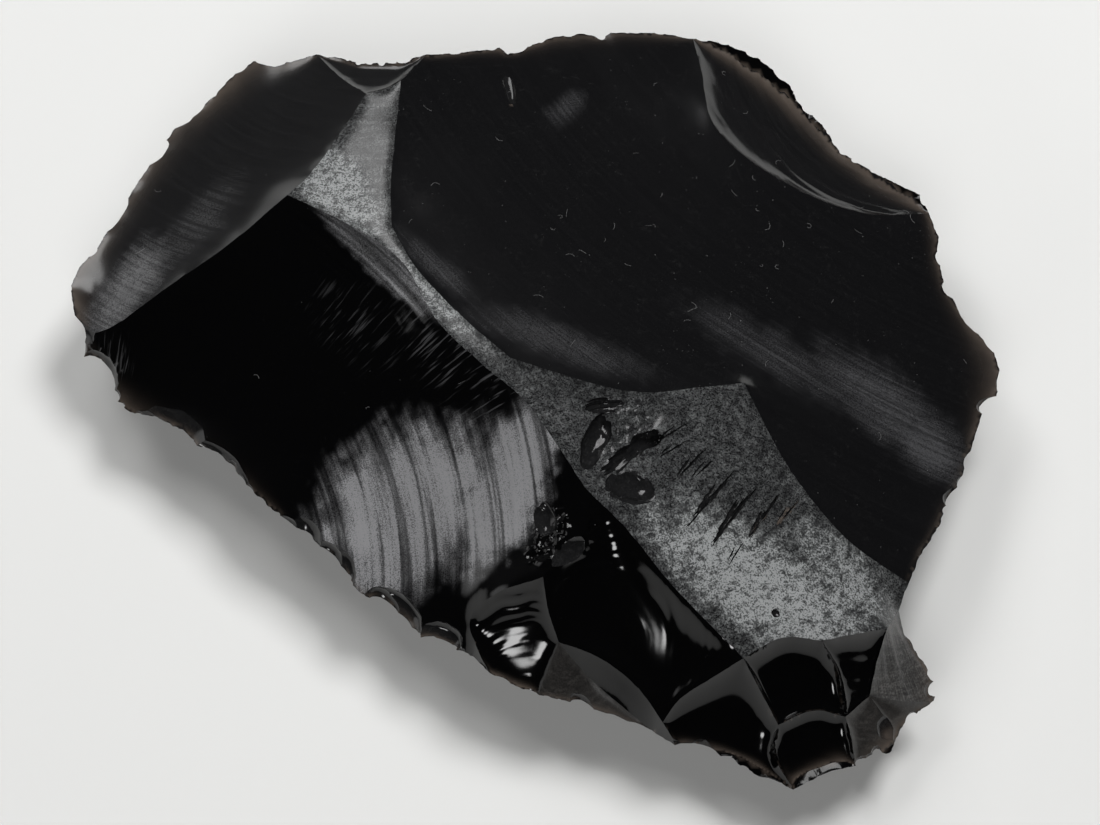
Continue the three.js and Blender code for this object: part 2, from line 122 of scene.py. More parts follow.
RIM, BATTERED = EdgeKind.RIM, EdgeKind.BATTERED_RIM
EDGES: dict[str, Edge] = {
    "rimLeaf": Edge("westTip", "crownLeft", (
        (-46.5, 9, 9), (-47, 12, 9.5), (-46.3, 14.3, 9.5), (-44.5, 16.6, 9.5), (-41, 23.7, 9.5),
        (-37, 31, 9.5), (-34, 33.3, 10), (-31, 36.3, 11), (-28.5, 37.6, 12), (-25.2, 36.4, 13)), RIM),
    "rimCrown": Edge("crownLeft", "crownRight", (
        (-20.5, 36.5, 14), (-17.5, 34.9, 15.2), (-14, 34.4, 16.4)), RIM),
    "rimBack": Edge("crownRight", "northPeak", (
        (-7.5, 36.4, 15), (-3.4, 37.6, 14), (-2.7, 36.8, 14), (1.8, 39.4, 13), (5.2, 40.2, 12.5),
        (7, 39.5, 12.5), (8, 40.2, 12.5), (12.5, 40.5, 12)), RIM),
    "rimShell": Edge("northPeak", "northEast", (
        (20.5, 39.4, 11.5), (23.8, 37.8, 11), (27, 35, 10), (27.3, 33.6, 10), (29.8, 30.9, 10),
        (31.6, 27.8, 9.5), (35, 25.4, 9.5), (39.7, 22.7, 9.5)), RIM),
    "rimEast": Edge("northEast", "eastSide", (
        (41.4, 17.8, 9.5), (41.2, 16.2, 9.3), (41.8, 12.5, 9), (43.6, 8.8, 9), (46.3, 5.3, 9),
        (47, 2.5, 9), (46.4, 0, 9), (45.2, -1, 9)), RIM),
    "rimFold": Edge("eastSide", "eastFold", (
        (42.3, -9.6, 10), (40.2, -13.7, 11), (39.8, -15, 11), (37.9, -18, 11.5)), RIM),
    "rimRise": Edge("eastFold", "eastNotch", (), RIM),
    "rimSpur": Edge("eastNotch", "spurTip", (
        (36.3, -25.6, 9), (38.3, -28, 7), (39.7, -29.6, 6)), BATTERED),
    "rimSpurFoot": Edge("spurTip", "spurFoot", ((37, -32.5, 5), (35.8, -33.9, 5.2)), BATTERED),
    "rimScallop": Edge("spurFoot", "shellFoot", ((34.8, -36.3, 5.6), (33, -37.9, 6)), BATTERED),
    "rimToe": Edge("shellFoot", "southTip", ((29, -38.9, 6.4), (26.3, -39.8, 6.4)), BATTERED),
    "rimFront": Edge("southTip", "spineFoot", ((22, -39.3, 6.5), (19, -37.8, 6.8), (16, -37.3, 7)), RIM),
    "rimSpine": Edge("spineFoot", "greyRight", (), RIM),
    "rimGrey": Edge("greyRight", "greyLeft", ((7.5, -33.1, 7), (4, -32, 7.4)), RIM),
    "rimLobe": Edge("greyLeft", "lobeFoot", ((-2.4, -30.3, 8),), BATTERED),
    "rimFace": Edge("lobeFoot", "westBend", (
        (-6.3, -27.3, 8.4), (-9.4, -26.3, 8.5), (-12.6, -24.8, 8), (-15.2, -22.4, 8), (-18, -20, 8.5),
        (-21.3, -16.5, 9)), RIM),
    "rimWest": Edge("westBend", "westTip", (
        (-28.4, -10, 9), (-31.5, -7.4, 9), (-35, -5.1, 9), (-39.2, -2.2, 8), (-42.3, 0.4, 7.5),
        (-42.9, 2.2, 7.5), (-46, 5.2, 7.5)), BATTERED),
    "leafTop": Edge("crownLeft", "crownNotch", ((-19.3, 32.4, 16),)),
    "crownBase": Edge("crownNotch", "crownInner", ((-15, 30.4, 17.7),)),
    "crownSide": Edge("crownInner", "crownRight", ((-12.3, 33.4, 16.8),)),
    "leafRidge": Edge("crownNotch", "hub", ((-19, 26, 18), (-22.5, 19.8, 18.7))),
    "westRidge": Edge("hub", "westTip", ((-30, 13.3, 17), (-36, 10, 14.4), (-42.5, 7, 10.5))),
    "shellEdge": Edge("northPeak", "northEast", (
        (17.3, 35, 13.6), (18.2, 28.2, 15), (21, 24.8, 14.6), (27.8, 21, 12.8), (34, 19.7, 11))),
    "wedgeRight": Edge("crownInner", "stripTopRight", ((-13.8, 26, 18.5), (-14.2, 18, 19.4))),
    "wedgeLeft": Edge("hub", "stripTopLeft", ((-20, 15, 19.3),)),
    "stripRight": Edge("stripTopRight", "stripEndRight", ((-11.6, 8.8, 20.4), (-6.8, 3, 20.7))),
    "stripLeft": Edge("stripTopLeft", "stripEndLeft", ((-12.7, 9.2, 20.1), (-9.2, 2.6, 20.5))),
    "satinBack": Edge("stripEndRight", "nose", ((2, -3, 21),)),
    "satinFront": Edge("stripEndLeft", "neck", ((-1, -5.8, 20.9), (2.2, -10.5, 20.9))),
    "notchLeft": Edge("nose", "neck", ((7.6, -7.4, 19.9), (6.2, -10.5, 19.8))),
    "notchBack": Edge("nose", "brow", ((9.4, -5, 20.8),)),
    "notchRight": Edge("brow", "neck", ((12.6, -7.4, 20), (9.2, -11.7, 20))),
    "crack": Edge("brow", "crackEnd", ((16.2, -4.3, 20.2),)),
    "fold": Edge("crackEnd", "eastFold", ((25, -12, 17.6), (30.3, -17.9, 15)), EdgeKind.SEAM),
    "satinLip": Edge("neck", "heel", ((9, -18.9, 19.4), (13, -23.7, 18))),
    "shellLip": Edge("heel", "shellTop", ((23.6, -28.5, 15.7),)),
    "shoulderLip": Edge("shellTop", "shoulder", ((31, -27.5, 14.2),)),
    "notchRise": Edge("shoulder", "eastNotch"),
    "spurCrest": Edge("shoulder", "spurRoot", ((33.2, -28.8, 11.2),)),
    "spurKeel": Edge("spurRoot", "spurTip", ((36, -31.6, 6.8),)),
    "scallopKeel": Edge("spurRoot", "spurFoot", ((34.2, -33.6, 6.8),)),
    "knotRidge": Edge("spurRoot", "shellKnot"),
    "shellWall": Edge("shellTop", "shellKnot", ((29.2, -30.9, 12),)),
    "shellArc": Edge("shellKnot", "shellMid", ((27, -33.8, 10.2),)),
    "heelRidge": Edge("shellMid", "heel", ((21.8, -32.8, 12.4),)),
    "toeRidge": Edge("shellMid", "southTip", ((23.2, -37.5, 8),)),
    "scallopWall": Edge("shellKnot", "shellFoot", ((30.7, -36.3, 8),)),
    "frontArc": Edge("heel", "spineEnd", ((17, -31.6, 13), (14, -32.9, 10.5))),
    "spine": Edge("greyTop", "spineEnd", ((6, -28.8, 11.8), (10, -31.3, 10))),
    "spineDrop": Edge("spineEnd", "spineFoot"),
    "greyRidge": Edge("greyTop", "greyRight", ((5.3, -29.9, 9.3), (9, -32.7, 7.4))),
    "greySide": Edge("greyTop", "greyLeft"),
    "lobeRidge": Edge("greyTop", "elbow", ((1.5, -25.3, 14.5),)),
    "frontRidge": Edge("neck", "elbow", ((4.6, -19, 19.4),)),
    "lobeArc": Edge("elbow", "lobeFoot", ((-3.6, -23.6, 14.6), (-6.1, -25, 10.8), (-5.3, -27.4, 9.8))),
    "keelWest": Edge("restWest", "westTip", ((-33, 5.5, 3),)),
    "keelNorthWest": Edge("restNorthWest", "crownLeft", ((-17.5, 26, 5),)),
    "keelNorth": Edge("restNorth", "northPeak", ((12.5, 29, 4.4),)),
    "keelNorthEast": Edge("restNorthEast", "northEast", ((33, 15.5, 3.6),)),
    "keelEast": Edge("restEast", "eastSide", ((36, -6.3, 3.6),)),
    "keelSouthEast": Edge("restSouthEast", "southTip", ((22.8, -31, 2.4),)),
    "keelSouth": Edge("restSouth", "lobeFoot", ((-2.8, -23.8, 3.2),)),
    "keelSouthWest": Edge("restSouthWest", "westBend", ((-19.5, -11.5, 3.4),)),
}
REST_RING = ("restWest", "restNorthWest", "restNorth", "restNorthEast", "restEast",
             "restSouthEast", "restSouth", "restSouthWest")
for _i, _name in enumerate(REST_RING):
    EDGES[f"restEdge{_i + 1}"] = Edge(_name, REST_RING[(_i + 1) % len(REST_RING)], (), EdgeKind.SEAM)


# ---------------------------------------------------------------------------------------------
# Small mathematics: noise, curves and sheets
# ---------------------------------------------------------------------------------------------

def lattice(i: np.ndarray, j: np.ndarray, seed: int) -> np.ndarray:
    """A fixed random value from -1 to 1 for each whole-numbered grid point.

    Args:
        i: Grid columns.
        j: Grid rows.
        seed: Which field of values to use.

    Returns:
        One value for each grid point.
    """
    mixed = (i.astype(np.int64) * 374761393 + j.astype(np.int64) * 668265263 + seed * 974711) & 0x7FFFFFFF
    mixed = ((mixed ^ (mixed >> 13)) * 1274126177) & 0x7FFFFFFF
    return ((mixed ^ (mixed >> 16)) & 0xFFFF) / 32767.5 - 1.0


def noise(u: np.ndarray, v: np.ndarray, seed: int) -> np.ndarray:
    """Smooth value noise from -1 to 1, with one grid point per unit.

    Args:
        u: First coordinate.
        v: Second coordinate.
        seed: Which field of values to use.

    Returns:
        The noise at each place.
    """
    i, j = np.floor(u), np.floor(v)
    s, t = u - i, v - j
    s, t = (w * w * w * (w * (w * 6 - 15) + 10) for w in (s, t))
    low = lattice(i, j, seed) * (1 - s) + lattice(i + 1, j, seed) * s
    high = lattice(i, j + 1, seed) * (1 - s) + lattice(i + 1, j + 1, seed) * s
    return low * (1 - t) + high * t


def smoothstep(low: float, high: float, value: np.ndarray) -> np.ndarray:
    """Rises smoothly from 0 at low to 1 at high."""
    t = np.clip((value - low) / (high - low), 0, 1)
    return t * t * (3 - 2 * t)


def smooth_curve(points: np.ndarray, step: float) -> np.ndarray:
    """Samples a centripetal Catmull-Rom curve.

    Args:
        points: The points that the curve passes through.
        step: Distance between samples.

    Returns:
        The samples, both ends included.
    """
    padded = np.vstack([2 * points[0] - points[1], points, 2 * points[-1] - points[-2]])
    pieces = []
    for p0, p1, p2, p3 in zip(padded, padded[1:], padded[2:], padded[3:]):
        legs = ((p0, p1), (p1, p2), (p2, p3))
        a, b, c = (max(float(np.linalg.norm(q - p)) ** 0.5, 1e-4) for p, q in legs)
        slope1 = ((p1 - p0) / a - (p2 - p0) / (a + b) + (p2 - p1) / b) * b
        slope2 = ((p2 - p1) / b - (p3 - p1) / (b + c) + (p3 - p2) / c) * b
        count = max(1, int(math.ceil(np.linalg.norm(p2 - p1) / step)))
        u = (np.arange(count) / count)[:, None]
        bend = -3 * p1 + 3 * p2 - 2 * slope1 - slope2
        twist = 2 * p1 - 2 * p2 + slope1 + slope2
        pieces.append(p1 + slope1 * u + bend * u ** 2 + twist * u ** 3)
    return np.vstack([*pieces, points[-1:]])


def straight_runs(points: np.ndarray, step: float) -> np.ndarray:
    """Samples the straight lines between points, both ends included.

    Args:
        points: The points to join.
        step: Distance between samples.

    Returns:
        The samples.
    """
    pieces = []
    for p, q in zip(points, points[1:]):
        count = max(1, int(math.ceil(np.linalg.norm(q - p) / step)))
        pieces.append(p + (q - p) * (np.arange(count) / count)[:, None])
    return np.vstack([*pieces, points[-1:]])


def sheet(loop: np.ndarray, spots: np.ndarray) -> tuple[np.ndarray, np.ndarray]:
    """Stretches a smooth sheet over a loop by mean value coordinates.

    Args:
        loop: Corners of the loop, in order, with heights.
        spots: Places inside it, in plan.

    Returns:
        The sheet's height at each spot, and how far the spot is from the loop, roughly.
    """
    heights, depths = [], []
    for start in range(0, len(spots), 4000):
        part = spots[start:start + 4000]
        dx = loop[:, 0][None] - part[:, :1]
        dy = loop[:, 1][None] - part[:, 1:2]
        reach = np.hypot(dx, dy)
        nx, ny, nreach = (np.roll(w, -1, axis=1) for w in (dx, dy, reach))
        cross = dx * ny - dy * nx
        cross = np.where(np.abs(cross) < 1e-9, 1e-9, cross)
        half = (reach * nreach - (dx * nx + dy * ny)) / cross
        weight = (np.roll(half, 1, axis=1) + half) / reach
        total = weight.sum(1)
        heights.append((weight * loop[:, 2]).sum(1) / total)
        depths.append(2 / np.maximum(total, 1e-9))
    return np.concatenate(heights), np.concatenate(depths)


def inside(loop: np.ndarray, spots: np.ndarray) -> np.ndarray:
    """Whether each spot is inside a loop, in plan.

    Args:
        loop: Corners of the loop.
        spots: Places to test.

    Returns:
        True for each spot that is inside.
    """
    found = []
    x0, y0 = loop[:, 0], loop[:, 1]
    x1, y1 = np.roll(x0, -1), np.roll(y0, -1)
    for start in range(0, len(spots), 4000):
        x, y = spots[start:start + 4000, :1], spots[start:start + 4000, 1:2]
        spans = (y0 > y) != (y1 > y)
        rise = np.where(y1 == y0, 1e-9, y1 - y0)
        crosses = spans & (x < (x1 - x0) * (y - y0) / rise + x0)
        found.append(crosses.sum(1) % 2 == 1)
    return np.concatenate(found) if found else np.zeros(0, bool)


# ---------------------------------------------------------------------------------------------
# Fracture faces
# ---------------------------------------------------------------------------------------------

class Finish(Enum):
    """The finishes of the glass, in the order of the chunk's materials."""

    POLISHED = 0
    BACK = 1
    LEAF = 2
    SATIN = 3
    BROAD = 4
    HACKLED = 5
    FLAKE = 6
    LIP = 7


@dataclass(frozen=True)
class Patch:
    """A soft-edged oval on the chunk, in plan.

    Args:
        x: Middle, in millimetres.
        y: Middle.
        long: Half its length.
        wide: Half its width.
        turn: Direction of its length, in degrees.
        strength: Its value in the middle.
        soft: How much of it is edge, from 0 to 1.
    """

    x: float
    y: float
    long: float
    wide: float
    turn: float = 0.0
    strength: float = 1.0
    soft: float = 0.6

    def value(self, x: np.ndarray, y: np.ndarray) -> np.ndarray:
        """Its value at each place."""
        angle = math.radians(self.turn)
        along = (x - self.x) * math.cos(angle) + (y - self.y) * math.sin(angle)
        across = (y - self.y) * math.cos(angle) - (x - self.x) * math.sin(angle)
        ragged = 0.12 * noise(x * 0.45, y * 0.45, 31) + 0.08 * noise(x * 1.3, y * 1.3, 32)
        radius = np.hypot(along / self.long, across / self.wide) + ragged
        return self.strength * (1 - smoothstep(1 - self.soft, 1.0, radius))


@dataclass(frozen=True)
class Ripple:
    """Waves that spread from the point where a blow landed.

    Args:
        height: Height of a wave, in millimetres.
        length: Distance between waves.
        near: Where the waves start, from the blow.
        far: Where they end.
        seed: Which pattern of waves.
        sweep: How many times the pattern changes round the blow, per radian.
        zone: Where the waves are, or None for everywhere.
        fluted: Whether they are flutes that fan out from the blow instead.
    """

    height: float
    length: float
    near: float = 0.0
    far: float = 200.0
    seed: int = 1
    sweep: float = 0.6
    zone: Patch | None = None
    fluted: bool = False

    def wave(self, x: np.ndarray, y: np.ndarray, reach: np.ndarray, turn: np.ndarray) -> np.ndarray:
        """Height of the waves.

        Args:
            x: Places in plan.
            y: Places in plan.
            reach: Their distance from the blow.
            turn: Their direction from the blow, in radians.

        Returns:
            The height at each place.
        """
        if self.fluted:
            body = noise(turn * reach.mean() / self.length * 2, reach * 0.12, self.seed)
        else:
            body = noise(reach / self.length * 2, turn * self.sweep + 7.3, self.seed)
        strength = 0.65 + 0.35 * noise(reach / self.length / 3, turn * 2.3, self.seed + 50)
        ends = smoothstep(self.near, self.near + self.length * 1.5, reach)
        ends = ends * (1 - smoothstep(self.far - self.length * 2, self.far, reach))
        within = 1.0 if self.zone is None else self.zone.value(x, y)
        return self.height * body * strength * ends * within


@dataclass(frozen=True)
class FractureFace:
    """One fracture face of the chunk.

    Args:
        name: What the face is called.
        edges: Names of the edges around it, in order.
        finish: Its finish.
        scoop: How deep it is hollowed, in millimetres.
        blow: Where the blow landed that split it off, in plan.
        ripples: The waves in it.
        grid: Spacing of its mesh.
        swell: Height of its long, random unevenness.
        fine: Zones whose mesh is twice as fine.
        gentle: Whether its hollow starts gently from its edges.
    """

    name: str
    edges: str
    finish: Finish
    scoop: float
    blow: tuple[float, float]
    ripples: tuple[Ripple, ...] = ()
    grid: float = 0.4
    swell: float = 0.03
    fine: tuple[Patch, ...] = ()
    gentle: bool = False


F = Finish
RIDGE_BAND = Patch(-16.5, 9.4, 13.5, 3.1, -46, 1.0, 0.45)
FAN = Patch(-11.5, -13.5, 16, 11, 35, 1.0, 0.6)
RIBBONS = Patch(0.2, -14.5, 7.5, 4.2, 80, 1.0, 0.5)
LOBE_ARCS = Patch(-2.8, -25.2, 4.2, 3.0, 20, 1.0, 0.5)
FRONT_ARCS = Patch(5.4, -20.0, 3.4, 4.6, 0, 1.0, 0.6)
UPPER_FACES = (
    FractureFace("leaf", "rimLeaf leafTop leafRidge westRidge", F.LEAF, 0.35, (-14, 45),
                 (Ripple(0.04, 6, seed=3), Ripple(0.03, 1.6, 44, 70, 4))),
    FractureFace("crown", "rimCrown crownSide crownBase leafTop", F.LEAF, 0.4, (-16, 39),
                 (Ripple(0.05, 1.1, seed=5),), 0.3),
    FractureFace("satin", "crownBase wedgeRight stripRight satinBack notchLeft satinFront stripLeft "
                 "wedgeLeft leafRidge", F.SATIN, 0.3, (-16, 35), (Ripple(0.02, 2.2, seed=6),)),
    FractureFace("back", "crownSide rimBack shellEdge rimEast rimFold fold crack notchBack satinBack "
                 "stripRight wedgeRight", F.BACK, -0.6, (62, 67), (Ripple(0.05, 6.5, seed=9, sweep=1.2),),
                 gentle=True),
    FractureFace("shell", "rimShell shellEdge", F.LEAF, 0.9, (40, 39),
                 (Ripple(0.07, 1.5, 3, 40, 10), Ripple(0.04, 0.7, 8, 40, 11)), 0.28),
    FractureFace("notch", "notchBack notchRight notchLeft", F.SATIN, 0.35, (9, -1),
                 (Ripple(0.03, 1.2, seed=12),), 0.22),
    FractureFace("sole", "crack fold rimRise notchRise shoulderLip shellLip satinLip notchRight",
                 F.SATIN, -0.35, (8, -1), (Ripple(0.05, 2.4, seed=13, sweep=2),)),
    FractureFace("face", "wedgeLeft stripLeft satinFront frontRidge lobeArc rimFace rimWest westRidge",
                 F.BROAD, 1.3, (-46.3, -20.3),
                 (Ripple(0.05, 2.6, seed=14, sweep=2.5, zone=FAN),
                  Ripple(0.028, 1.1, seed=15, sweep=4, zone=FAN),
                  Ripple(0.11, 1.5, seed=16, sweep=5, zone=RIBBONS),
                  Ripple(0.05, 0.55, seed=29, sweep=3, zone=RIDGE_BAND),
                  Ripple(0.06, 1.3, seed=30, sweep=3, zone=RIDGE_BAND)),
                 0.34, 0.02, (RIDGE_BAND, RIBBONS), True),
    FractureFace("front", "satinLip frontArc spine lobeRidge frontRidge", F.POLISHED, 1.5, (7, -29),
                 (Ripple(0.2, 1.3, seed=17, sweep=0.7, zone=FRONT_ARCS), Ripple(0.05, 0.7, 6, 18, 18),
                  Ripple(0.1, 1.0, seed=34, sweep=0.8, zone=Patch(13, -27, 5, 3.5, -35))),
                 0.22, 0.02, (FRONT_ARCS,), True),
    FractureFace("lobe", "lobeRidge greySide rimLobe lobeArc", F.POLISHED, 0.9, (-1, -33),
                 (Ripple(0.15, 0.95, 3, 14, 19, 0.5, LOBE_ARCS), Ripple(0.05, 0.6, 3, 12, 20)), 0.2, 0.02,
                 (LOBE_ARCS,)),
    FractureFace("spineStripe", "spine spineDrop rimSpine greyRidge", F.POLISHED, 0.1, (4, -28), (), 0.2),
    FractureFace("grey", "greyRidge rimGrey greySide", F.LIP, 0.25, (3, -27),
                 (Ripple(0.03, 1.5, seed=21),), 0.2),
    FractureFace("shellMiddle", "shellLip shellWall shellArc heelRidge", F.POLISHED, 1.5, (26, -40),
                 (Ripple(0.04, 1.4, seed=22),), 0.2),
    FractureFace("shellRight", "shoulderLip spurCrest knotRidge shellWall", F.POLISHED, 1.1, (32, -38),
                 (Ripple(0.12, 1.0, 6, 12, seed=23),), 0.2),
    FractureFace("shellLeft", "heelRidge toeRidge rimFront spineDrop frontArc", F.POLISHED, 1.6, (19, -44),
                 (Ripple(0.05, 1.6, seed=24),), 0.22),
    FractureFace("shellToe", "shellArc scallopWall rimToe toeRidge", F.POLISHED, 1.1, (27, -43),
                 (Ripple(0.06, 1.2, seed=25),), 0.2),
    FractureFace("scallop", "knotRidge scallopKeel rimScallop scallopWall", F.LIP, 0.4, (31, -31),
                 (Ripple(0.08, 1, seed=26),), 0.2),
    FractureFace("spur", "notchRise rimSpur spurKeel spurCrest", F.HACKLED, 0.3, (31.5, -20),
                 (Ripple(0.3, 0.75, seed=27, fluted=True), Ripple(0.03, 0.8, seed=33)), 0.16),
    FractureFace("spurFoot", "spurKeel rimSpurFoot scallopKeel", F.LIP, 0.3, (34, -30),
                 (Ripple(0.06, 0.8, seed=28),), 0.2),
)
UNDER_RIPPLES = (Ripple(0.09, 4, seed=40), Ripple(0.03, 1.8, seed=41))
LOWER_FACES = tuple(
    FractureFace(name, edges, finish, scoop, blow, UNDER_RIPPLES, 0.8)
    for name, edges, finish, scoop, blow in (
        ("underWest", "keelWest rimLeaf keelNorthWest restEdge1", F.POLISHED, 1.4, (-44, 31)),
        ("underNorth", "keelNorthWest rimCrown rimBack keelNorth restEdge2", F.BROAD, 1.8, (-2, 51)),
        ("underNorthEast", "keelNorth rimShell keelNorthEast restEdge3", F.POLISHED, 1.2, (34, 41)),
        ("underEast", "keelNorthEast rimEast keelEast restEdge4", F.POLISHED, 1.3, (56, 7)),
        ("underSouthEast", "keelEast rimFold rimRise rimSpur rimSpurFoot rimScallop rimToe keelSouthEast "
         "restEdge5", F.BROAD, 0.8, (46, -29)),
        ("underSouth", "keelSouthEast rimFront rimSpine rimGrey rimLobe keelSouth restEdge6",
         F.POLISHED, 1.0, (10, -41)),
        ("underSouthWest", "keelSouth rimFace keelSouthWest restEdge7", F.POLISHED, 0.8, (-16, -29)),
        ("underFarWest", "keelSouthWest rimWest keelWest restEdge8", F.POLISHED, 1.1, (-42, -13)),
    )
) + (
    FractureFace("rest", " ".join(f"restEdge{i + 1}" for i in range(len(REST_RING))), F.SATIN, 0.0,
                 (3, -60), (), 1.2, 0.0),
)
FACES = UPPER_FACES + LOWER_FACES
SOFT_SEAMS = frozenset({frozenset({"back", "sole"})})
# Pale patches of each face: partly real frosting, partly painted sheen standing in for lamp light
# scattered off rough glass, such as the glow bands on the back, the pale leaf tip and the bright lower
# sole.
FROST_AND_SHEEN = {
    "face": (Patch(-12.5, -13.6, 12.5, 9.5, 20, 1.0, 0.75), Patch(-2.6, -13.5, 9.5, 5, 68, 1.0, 0.6),
             Patch(-15.4, 10.4, 13.5, 1.7, -47, 0.5, 0.5)),
    "back": (Patch(3.4, 29.6, 3.4, 2.2, 60, 0.35, 0.9), Patch(35, -3, 13, 5, -38, 0.6, 0.9),
             Patch(39, -6, 7, 4, -50, 0.8, 0.9), Patch(24, 1, 13, 4, -28, 0.35, 0.9),
             Patch(3, 0.4, 12, 2.8, -22, 0.4, 0.9),
             Patch(-9.5, 9, 7, 1.8, -45, 0.35, 0.9)),
    "satin": (Patch(-19.5, 18, 8.5, 4.2, -55, 0.75, 0.9), Patch(-9.5, 5.5, 9, 2.4, -48, 0.4, 0.9)),
    "sole": (Patch(22, -23.8, 15, 6.2, -32, 0.95, 0.75), Patch(30, -22, 9, 5, -45, 0.5, 0.9)),
    "leaf": (Patch(-41, 11, 9, 4, 55, 0.85, 0.9), Patch(-34, 17, 10, 4, 50, 0.15, 0.9)),
}
HACKLE = {
    "face": (Patch(-7, -1.5, 11, 4.6, -48, 1.0, 0.6), Patch(-17, 4, 8, 4, -40, 0.6, 0.7),
             Patch(-43.5, 4, 4, 3, 0, 1.0, 0.5)),
}


@dataclass(frozen=True)
class Crush:
    """Crushed glass: sharp little shards where a blow bruised the surface.

    Args:
        face: Name of the face that it is in.
        patch: Where it is.
        height: Height of the shards, in millimetres.
        cell: Size of a shard.
    """

    face: str
    patch: Patch
    height: float
    cell: float

    def value(self, x: np.ndarray, y: np.ndarray) -> np.ndarray:
        """Height of the shards at each place."""
        broad = 1 - 2 * np.abs(noise(x / self.cell, y / self.cell, 71))
        fine = 1 - 2 * np.abs(noise(x / self.cell * 2.3 + 5, y / self.cell * 2.3, 72))
        return (broad * 0.7 + fine * 0.3) * self.height * self.patch.value(x, y)


CRUSHES = (
    Crush("face", Patch(1.6, -19.4, 3.6, 2.4, 70, 1, 0.5), 0.35, 0.9),
    Crush("front", Patch(5.0, -18.6, 2.4, 1.8, 80, 1, 0.5), 0.25, 0.8),
    Crush("face", Patch(-43.4, 4, 3.4, 3, 0, 1, 0.5), 0.3, 0.8),
    Crush("sole", Patch(8.6, -14.6, 2.6, 2.0, 60, 1, 0.5), 0.2, 0.9),
    Crush("notch", Patch(8.6, -8.6, 4.2, 3.0, 60, 1, 0.4), 0.3, 0.9),
    Crush("spur", Patch(36.5, -29, 4, 3, 0, 1, 0.5), 0.1, 0.8),
)


@dataclass
class Network:
    """The traced edges of the chunk, and the loops that they close.

    Args:
        step: Spacing of the samples along an edge, in millimetres.
        seed: Seed of the chips along the rim.
    """

    step: float = 0.3
    seed: int = 11
    traced: dict[str, np.ndarray] = field(default_factory=dict)

    def __post_init__(self) -> None:
        """Traces every edge once, so that faces that meet share its samples."""
        for number, (name, edge) in enumerate(EDGES.items()):
            self.traced[name] = self._trace(edge, self.seed + 7 * number)

    def _trace(self, edge: Edge, seed: int) -> np.ndarray:
        """Samples one edge and roughens it.

        Args:
            edge: The edge to trace.
            seed: Seed of its roughness.

        Returns:
            Its samples, with its two corners untouched.
        """
        points = np.array([CORNERS[edge.start], *edge.points, CORNERS[edge.end]], float)
        is_rim = edge.kind in (EdgeKind.RIM, EdgeKind.BATTERED_RIM)
        samples = straight_runs(points, self.step) if is_rim or len(points) == 2 else smooth_curve(
            points, self.step)
        along = np.concatenate([[0], np.cumsum(np.linalg.norm(np.diff(samples, axis=0), axis=1))])
        tangent = np.gradient(samples[:, :2], axis=0)
        tangent /= np.linalg.norm(tangent, axis=1)[:, None] + 1e-12
        side = np.stack([-tangent[:, 1], tangent[:, 0]], 1)
        rough = noise(along / 1.1, along * 0, seed) * 0.6 + noise(along / 0.45, along * 0, seed + 1) * 0.4
        if is_rim:
            rough = np.abs(rough)
            heart = np.array([0.0, 0.0]) - samples[:, :2]
            side *= np.sign((side * heart).sum(1))[:, None]
        ends = smoothstep(0, 1.2, np.minimum(along, along[-1] - along))
        samples[:, :2] += side * (rough * ends * edge.kind.value)[:, None]
        samples[:, 2] += noise(along / 1.7, along * 0, seed + 2) * ends * edge.kind.value * 0.5
        return samples

    def loop(self, face: FractureFace) -> np.ndarray:
        """Joins a face's edges into one loop that runs counter-clockwise in plan.

        Args:
            face: The face to go round.

        Returns:
            The corners of the loop.
        """
        runs = [self.traced[name] for name in face.edges.split()]
        first, second = runs[0], runs[1]
        if min(np.ptp([first[0], end], axis=0).max() for end in (second[0], second[-1])) < 1e-9:
            runs[0] = first[::-1]
        for i in range(1, len(runs)):
            if np.ptp([runs[i - 1][-1], runs[i][0]], axis=0).max() > 1e-9:
                runs[i] = runs[i][::-1]
        loop = np.vstack([run[:-1] for run in runs])
        x, y = loop[:, 0], loop[:, 1]
        area = (x * np.roll(y, -1) - y * np.roll(x, -1)).sum()
        return loop if area > 0 else loop[::-1]


